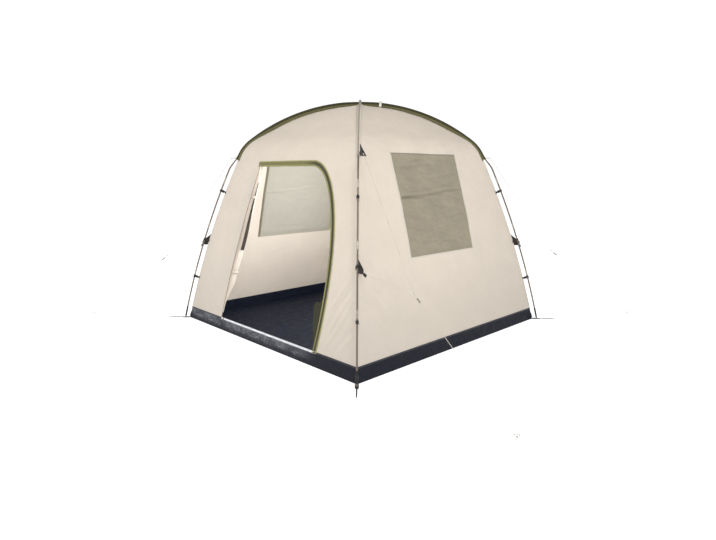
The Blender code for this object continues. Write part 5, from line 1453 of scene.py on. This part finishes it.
def reinforcements():
    """Dark triangles sewn flat beside the sleeves' mouths, behind the upper guy loops."""
    wide, high = REINFORCEMENT
    a, b = np.meshgrid(np.linspace(0.0, 1.0, 19), np.linspace(0.0, 1.0, 17))
    run = wall_run(SLEEVE_MOUTH + 0.004) + b * high
    away = SLEEVE_HALF + 0.0015 + a * (wide * (1.0 - b) ** 0.9 + 0.004)
    half = np.interp(run, SKIN_RUN, SKIN[:, 0])
    height = 0.0012 + 0.0042 * (1.0 - smooth_step(away, 0.024, 0.036))
    for corner, side in REINFORCED.items():
        sign = CORNERS[corner][side in ("left", "right")]
        place, normal = skin_place(side, sign * (half - away), run)
        place = place + normal * height[..., None]
        patch = shell("guy_reinforcement_" + corner, place + normal * 0.0008, place - normal * 0.0004,
                      pair(run, away), brown_web)
        dress(patch, "dark_webbing")


def pole_boots():
    """Dark rubber sleeves over the poles' lower ends."""
    z = np.array([0.010, 0.0108, 0.014, 0.030, 0.060, 0.086, 0.096, 0.0985, 0.1000])
    rim = np.array([0.0004, 0.0010, 0.0013, 0.0012, 0.0011, 0.0011, 0.0018, 0.0016, 0.0003])
    for corner in CORNERS:
        boot = tube("pole_boot_" + corner, lift(corner, leg_axis(z)), LEG_RADIUS + rim, black_rubber, 20)
        dress(boot, "dark_webbing")


def corner_pegs():
    """Folded steel pegs hooked over the foot plates and pushed out along the ground."""
    start = foot_axis()[0] + 0.026
    over = 0.003 + 2.0 * CLEAR + 0.0025
    rows = [(0.0, CLEAR), (0.0, over * 0.5), (0.001, over * 0.82), (0.0032, over), (0.014, over),
            (0.030, over * 0.9), (0.102, 0.004), (0.170, 0.0025 + CLEAR)]
    line = np.concatenate([rows[:3], even(rows[3:], 0.006)])
    width = np.interp(line[:, 0], [0.0, 0.010, 0.024, 0.130, 0.170], [0.0048, 0.0052, 0.0120, 0.0105, 0.0030])
    fold = np.array([(-0.5, -0.20), (-0.44, -0.24), (0.0, 0.02), (0.44, -0.24), (0.5, -0.20), (0.0, 0.24)])
    for corner in CORNERS:
        side = corner_axes(corner)[1]
        centres = lift(corner, line + (start, 0.0))
        up = unit(np.cross(headings(centres), side))
        peg = sweep("corner_peg_folded_" + corner, centres, side, up * np.sign(up[-1, 2]),
                    fold * width[:, None, None], dark_steel)
        dress(peg, "steel", "corner_peg_" + corner)


def feet():
    """Webbing loops that hold the foot plates to the groundsheet's corners."""
    reach = SIDE / ROOT2
    line = even([(reach - 0.0120, 0.062), (reach - 0.0025, 0.034), (reach + 0.0022, 0.014),
                 (reach + 0.0075, 0.0066), (reach + 0.016, 0.0046), (foot_axis()[0] - 0.0135, 0.0046)], 0.003)
    for _ in range(3):
        line[1:-1] = (line[:-2] + 2.0 * line[1:-1] + line[2:]) / 4.0
    bend = headings(line)
    width = np.linspace(1.0, 0.86, len(line))
    fold = np.interp(line[:, 1], [0.006, 0.034], [0.0, 1.0])[:, None]
    profile = strip(0.024, 0.0014) * pair(width, 1.0)[:, None]
    profile[..., 1] -= np.abs(profile[..., 0]) * fold * 0.92
    for corner in CORNERS:
        facing = unit(lift(corner, pair(-bend[:, 1], bend[:, 0])))
        web = sweep("foot_web_" + corner, lift(corner, line), corner_axes(corner)[1], facing, profile,
                    black_web, tape=True)
        dress(web, "dark_webbing")


# Guy lines, on the routes of the model

def beyond_corner(corner, beyond, sideways, height):
    return lift(corner, (SIDE / ROOT2 + beyond, height), sideways)


def patch_tip(low, heading):
    """Where a bridle's end is tied, just beyond the middle of the patch's outer edge."""
    return low + heading * (GUSSET_REACH + CORD_END_GAP) + UP * (GUSSET_LIP / 2.0)


def bridle_route(corner):
    """From the upper patch to the knot, round its bend, and back to the lower patch."""
    z = SLEEVE_MOUTH + UPPER_GUSSET_RISE
    flank = lift(corner, leg_axis(z) - wall_normal(z) * (POLE_RADIUS / 2.0), beside_pole(corner))
    upper = patch_tip(flank, gusset_way(corner, UPPER_SWING_DEG))
    seam = lift(corner, seam_line(CLIP_HEIGHTS["mid"] - LOWER_GUSSET_DROP) + (GUSSET_SEAT, 0.0))
    lower = patch_tip(seam, gusset_way(corner, LOWER_SWING_DEG))
    middle = beyond_corner(corner, *KNOTS[corner])
    to_upper, to_lower = unit(upper - middle), unit(lower - middle)
    bisector, across = unit(to_upper + to_lower), unit(to_upper - to_lower)
    opening = math.acos(to_upper @ to_lower) / 2.0
    centre = middle + bisector * (KNOT_BEND / math.sin(opening))
    angles = (math.pi / 2.0 - opening) * np.linspace(1.0, -1.0, KNOT_STEPS + 1)
    bend = around(centre, -bisector, across, angles, KNOT_BEND)
    return np.concatenate([[upper], bend, [lower]])


def guy_route(corner):
    """From the bridle's bend to the peg."""
    bend = bridle_route(corner)[1 + KNOT_STEPS // 2]
    foot = beyond_corner(corner, *GUY_PEGS[corner], 0.0)
    level = unit((foot - bend) * (1.0, 1.0, 0.0))
    end = foot - level * (PEG_RADIUS + CORD_END_GAP) + UP * GUY_END_HEIGHT
    return np.array([bend + unit(end - bend) * (0.0015 + CORD_END_GAP / 2.0), end])


def knot(name, place, heading, diameter, material):
    """Overhand knot pulled small: a trefoil of the cord."""
    heading = unit(heading)
    side = unit(np.cross(heading, (0.21, 0.37, 0.9)))
    t = full_turn(60)[:, None]
    path = (side * (np.sin(t) + 2.0 * np.sin(2.0 * t)) - heading * np.sin(3.0 * t) * 1.25
            + np.cross(heading, side) * (np.cos(t) - 2.0 * np.cos(2.0 * t))) * diameter * 0.46
    return tube(name, place + path, diameter * 0.5, material, 8, True)


def ladder_lock(name, place, heading, size):
    """Flat moulded buckle on the bridle's lower leg: a waisted plate with three raised bars."""
    heading = unit(heading)
    level = unit(np.cross(heading, UP))
    rise = np.cross(level, heading)
    u = np.array([0.0, 0.0012, 0.004, 0.012, 0.020, 0.028, 0.036, 0.0402, 0.042]) * 0.78 * size
    width = np.array([0.014, 0.019, 0.0215, 0.0225, 0.0215, 0.0250, 0.0270, 0.0255, 0.0200])
    made = [ribbon(name, place + heading * u[:, None], rise, level, width, 0.0050, black_plastic,
                   lift_off=-0.0025)]
    for at, half in ((0.005, 0.0100), (0.0155, 0.0102), (0.027, 0.0122)):
        span = np.linspace(-half, half, 7)[:, None]
        bar = place + heading * at * size + rise * span + level * 0.0022
        made.append(tube("%s_bar_%d" % (name, 1000 * at), bar, 0.0024, black_plastic, 8))
    return merge_pieces(name, made)


def guys():
    for corner, (bridle_length, guy_length) in CORD_LENGTHS.items():
        route = bridle_route(corner)
        bridle = np.concatenate([even(route[:2], 0.03)[:-1], route[1:-1], even(route[-2:], 0.03)[1:]])
        guy = even(guy_route(corner), 0.03)
        upper = knot("bridle_knot_top_" + corner, bridle[0], bridle[1] - bridle[0], BRIDLE_WIDTH,
                     bridle_white)
        lower = knot("bridle_knot_low_" + corner, bridle[-1], bridle[-1] - bridle[-2], BRIDLE_WIDTH,
                     bridle_white)
        first, down = unit(guy[1] - guy[0]), unit(guy[-1] - guy[-2])
        bend = knot("guy_knot_" + corner, guy[0] + first * 0.004, first, GUY_WIDTH, guy_white)
        end = knot("peg_knot_" + corner, guy[-1] - down * 0.014, down, GUY_WIDTH, guy_white)
        level = unit(down * (1.0, 1.0, 0.0))
        angles = full_turn(28)
        wide = 0.0046 + 0.0045 * (1.0 - np.cos(angles + math.pi)) / 2.0
        peg = guy[-1] + level * 0.0043 - UP * 0.0005
        loop = around(peg, level, np.cross(UP, level), angles, wide, 0.0046)
        noose = tube("peg_loop_" + corner, loop, GUY_WIDTH / 2.0, guy_white, 8, True)
        pull = unit(bridle[-2] - bridle[-1])
        lean, size = (0.9, 1.0) if corner == "front_right" else (0.25, 0.8)
        way = pull * lean - UP * (1.2 - lean)
        lock = ladder_lock("ladder_lock_" + corner, bridle[-1] - pull * 0.004, way, size)
        dress(lock, "dark_webbing")
        for piece in (upper, lower, bend, end, noose):
            dress(piece, "guy_cord")
        bridle_piece = tube("bridle_cord_" + corner, bridle, BRIDLE_WIDTH / 2.0, bridle_white, 10)
        guy_piece = tube("guy_cord_" + corner, guy, GUY_WIDTH / 2.0, guy_white, 10)
        dress(bridle_piece, "guy_cord", "bridle_" + corner)
        dress(guy_piece, "guy_cord", "guy_line_" + corner)


# Build

WALL_NODES = {"rear": ("rear_wall", 3.28), "right": ("right_wall", 2.51), "left": ("left_wall", 2.39),
              "front": ("door_wall", 1.58)}
# Looks of the CAD nodes that show themselves, by the start of their names
CAD_LOOKS = {"pole_foot": dark_steel, "guy_peg": steel, "zip_slider": steel, "zip_pull": olive_coil,
             "runner": runner_plastic}

guys()
sheet = groundsheet()
dress(sheet, "navy_sheet", "groundsheet")
for side, cloth in walls().items():
    node, area = WALL_NODES[side]
    dress(cloth, "cream_cloth", node)
for side, cloth in roofs().items():
    dress(cloth, "cream_cloth", "roof_" + side)
for side, cloth in curtains().items():
    dress(cloth, "taupe_curtain", "window_" + side)
poles()
sleeve("olive_sleeve", ("front_left", "rear_right"), False, 0.0, olive_sleeve_cloth, "olive_tape",
       "sleeve_olive")
for corner in ("front_right", "rear_left"):
    sleeve("greige_sleeve_" + corner, (corner,), True, SLEEVE_CROWN_GAP, greige, "greige_cloth",
           "sleeve_" + corner)
doorway()
door_roll()
roll_ties()
corner_bindings()
band_binding()
window_hems()
crown_strap()
for corner in CORNERS:
    for level, z in CLIP_HEIGHTS.items():
        clip(corner, level, z)
patches()
reinforcements()
pole_boots()
corner_pegs()
feet()

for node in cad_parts:
    name = node if isinstance(node, str) else node["name"]
    part = bpy.data.objects.get(name)
    for start, look in CAD_LOOKS.items():
        if part and part.material_slots and name.startswith(start):
            part.material_slots[0].material = look


# Floor, light and view

WHITE = (1.0, 1.0, 1.0, 1.0)
FLOOR_REACH = 40.0
FLOOR_DROP = 0.0005
SKY_STRENGTH = (0.54, 1.06)     # to the tent, and to the camera
AIM = np.array([0.0, 0.0, 0.8])


def floor_finish():
    f = Finish("studio_floor", Roughness=0.9, Specular_IOR_Level=0.1, Emission_Strength=0.60,
               Emission_Color=WHITE)
    speck = f.remap(f.noise(f.place(), 3.0, 2.0))
    f.put(f.shader.inputs["Base Color"], f.blend(speck, (0.93, 0.93, 0.93, 1.0), (0.95, 0.95, 0.95, 1.0)))
    return f.material


def add_light(name, kind, place, power, **settings):
    data = bpy.data.lights.new(name, kind)
    data.energy = power
    for key, value in settings.items():
        setattr(data, key, value)
    light = bpy.data.objects.new(name, data)
    light.location = place
    bpy.context.scene.collection.objects.link(light)
    return light


def key_light(name, place, size, power):
    """Square lamp turned towards the tent's middle."""
    light = add_light(name, "AREA", place, power, shape="SQUARE", size=size)
    direction = unit(AIM - place)
    yaw = math.atan2(direction[1], direction[0])
    light.rotation_euler = (math.acos(-direction[2]), 0.0, yaw - math.pi / 2.0)


floor_mesh = bpy.data.meshes.new("floor")
floor_mesh.from_pydata([(x * FLOOR_REACH, y * FLOOR_REACH, -FLOOR_DROP)
                        for x, y in ((-1, -1), (1, -1), (1, 1), (-1, 1))], [], [(0, 1, 2, 3)])
floor_mesh.materials.append(floor_finish())
floor = bpy.data.objects.new("floor", floor_mesh)
bpy.context.scene.collection.objects.link(floor)

world = bpy.data.worlds.new("studio")
world.use_nodes = True
sky = world.node_tree.nodes["Background"]
sky.inputs["Color"].default_value = WHITE
seen = world.node_tree.nodes.new("ShaderNodeLightPath")
strength = world.node_tree.nodes.new("ShaderNodeMapRange")
for socket, value in zip(strength.inputs[1:5], (0.0, 1.0, *SKY_STRENGTH)):
    socket.default_value = value
world.node_tree.links.new(seen.outputs["Is Camera Ray"], strength.inputs[0])
world.node_tree.links.new(strength.outputs[0], sky.inputs["Strength"])
bpy.context.scene.world = world

key_light("key_left", (-5.0, -8.0, 6.0), 3.0, 232.0)
key_light("key_right", (7.2, -3.3, 5.9), 2.2, 278.0)
inside = add_light("inside", "POINT", (0.22, -0.20, 1.00), 72.0, shadow_soft_size=0.45,
                   color=(0.97, 1.0, 1.05))
inside.visible_camera = False
bpy.context.scene.view_settings.view_transform = "Standard"

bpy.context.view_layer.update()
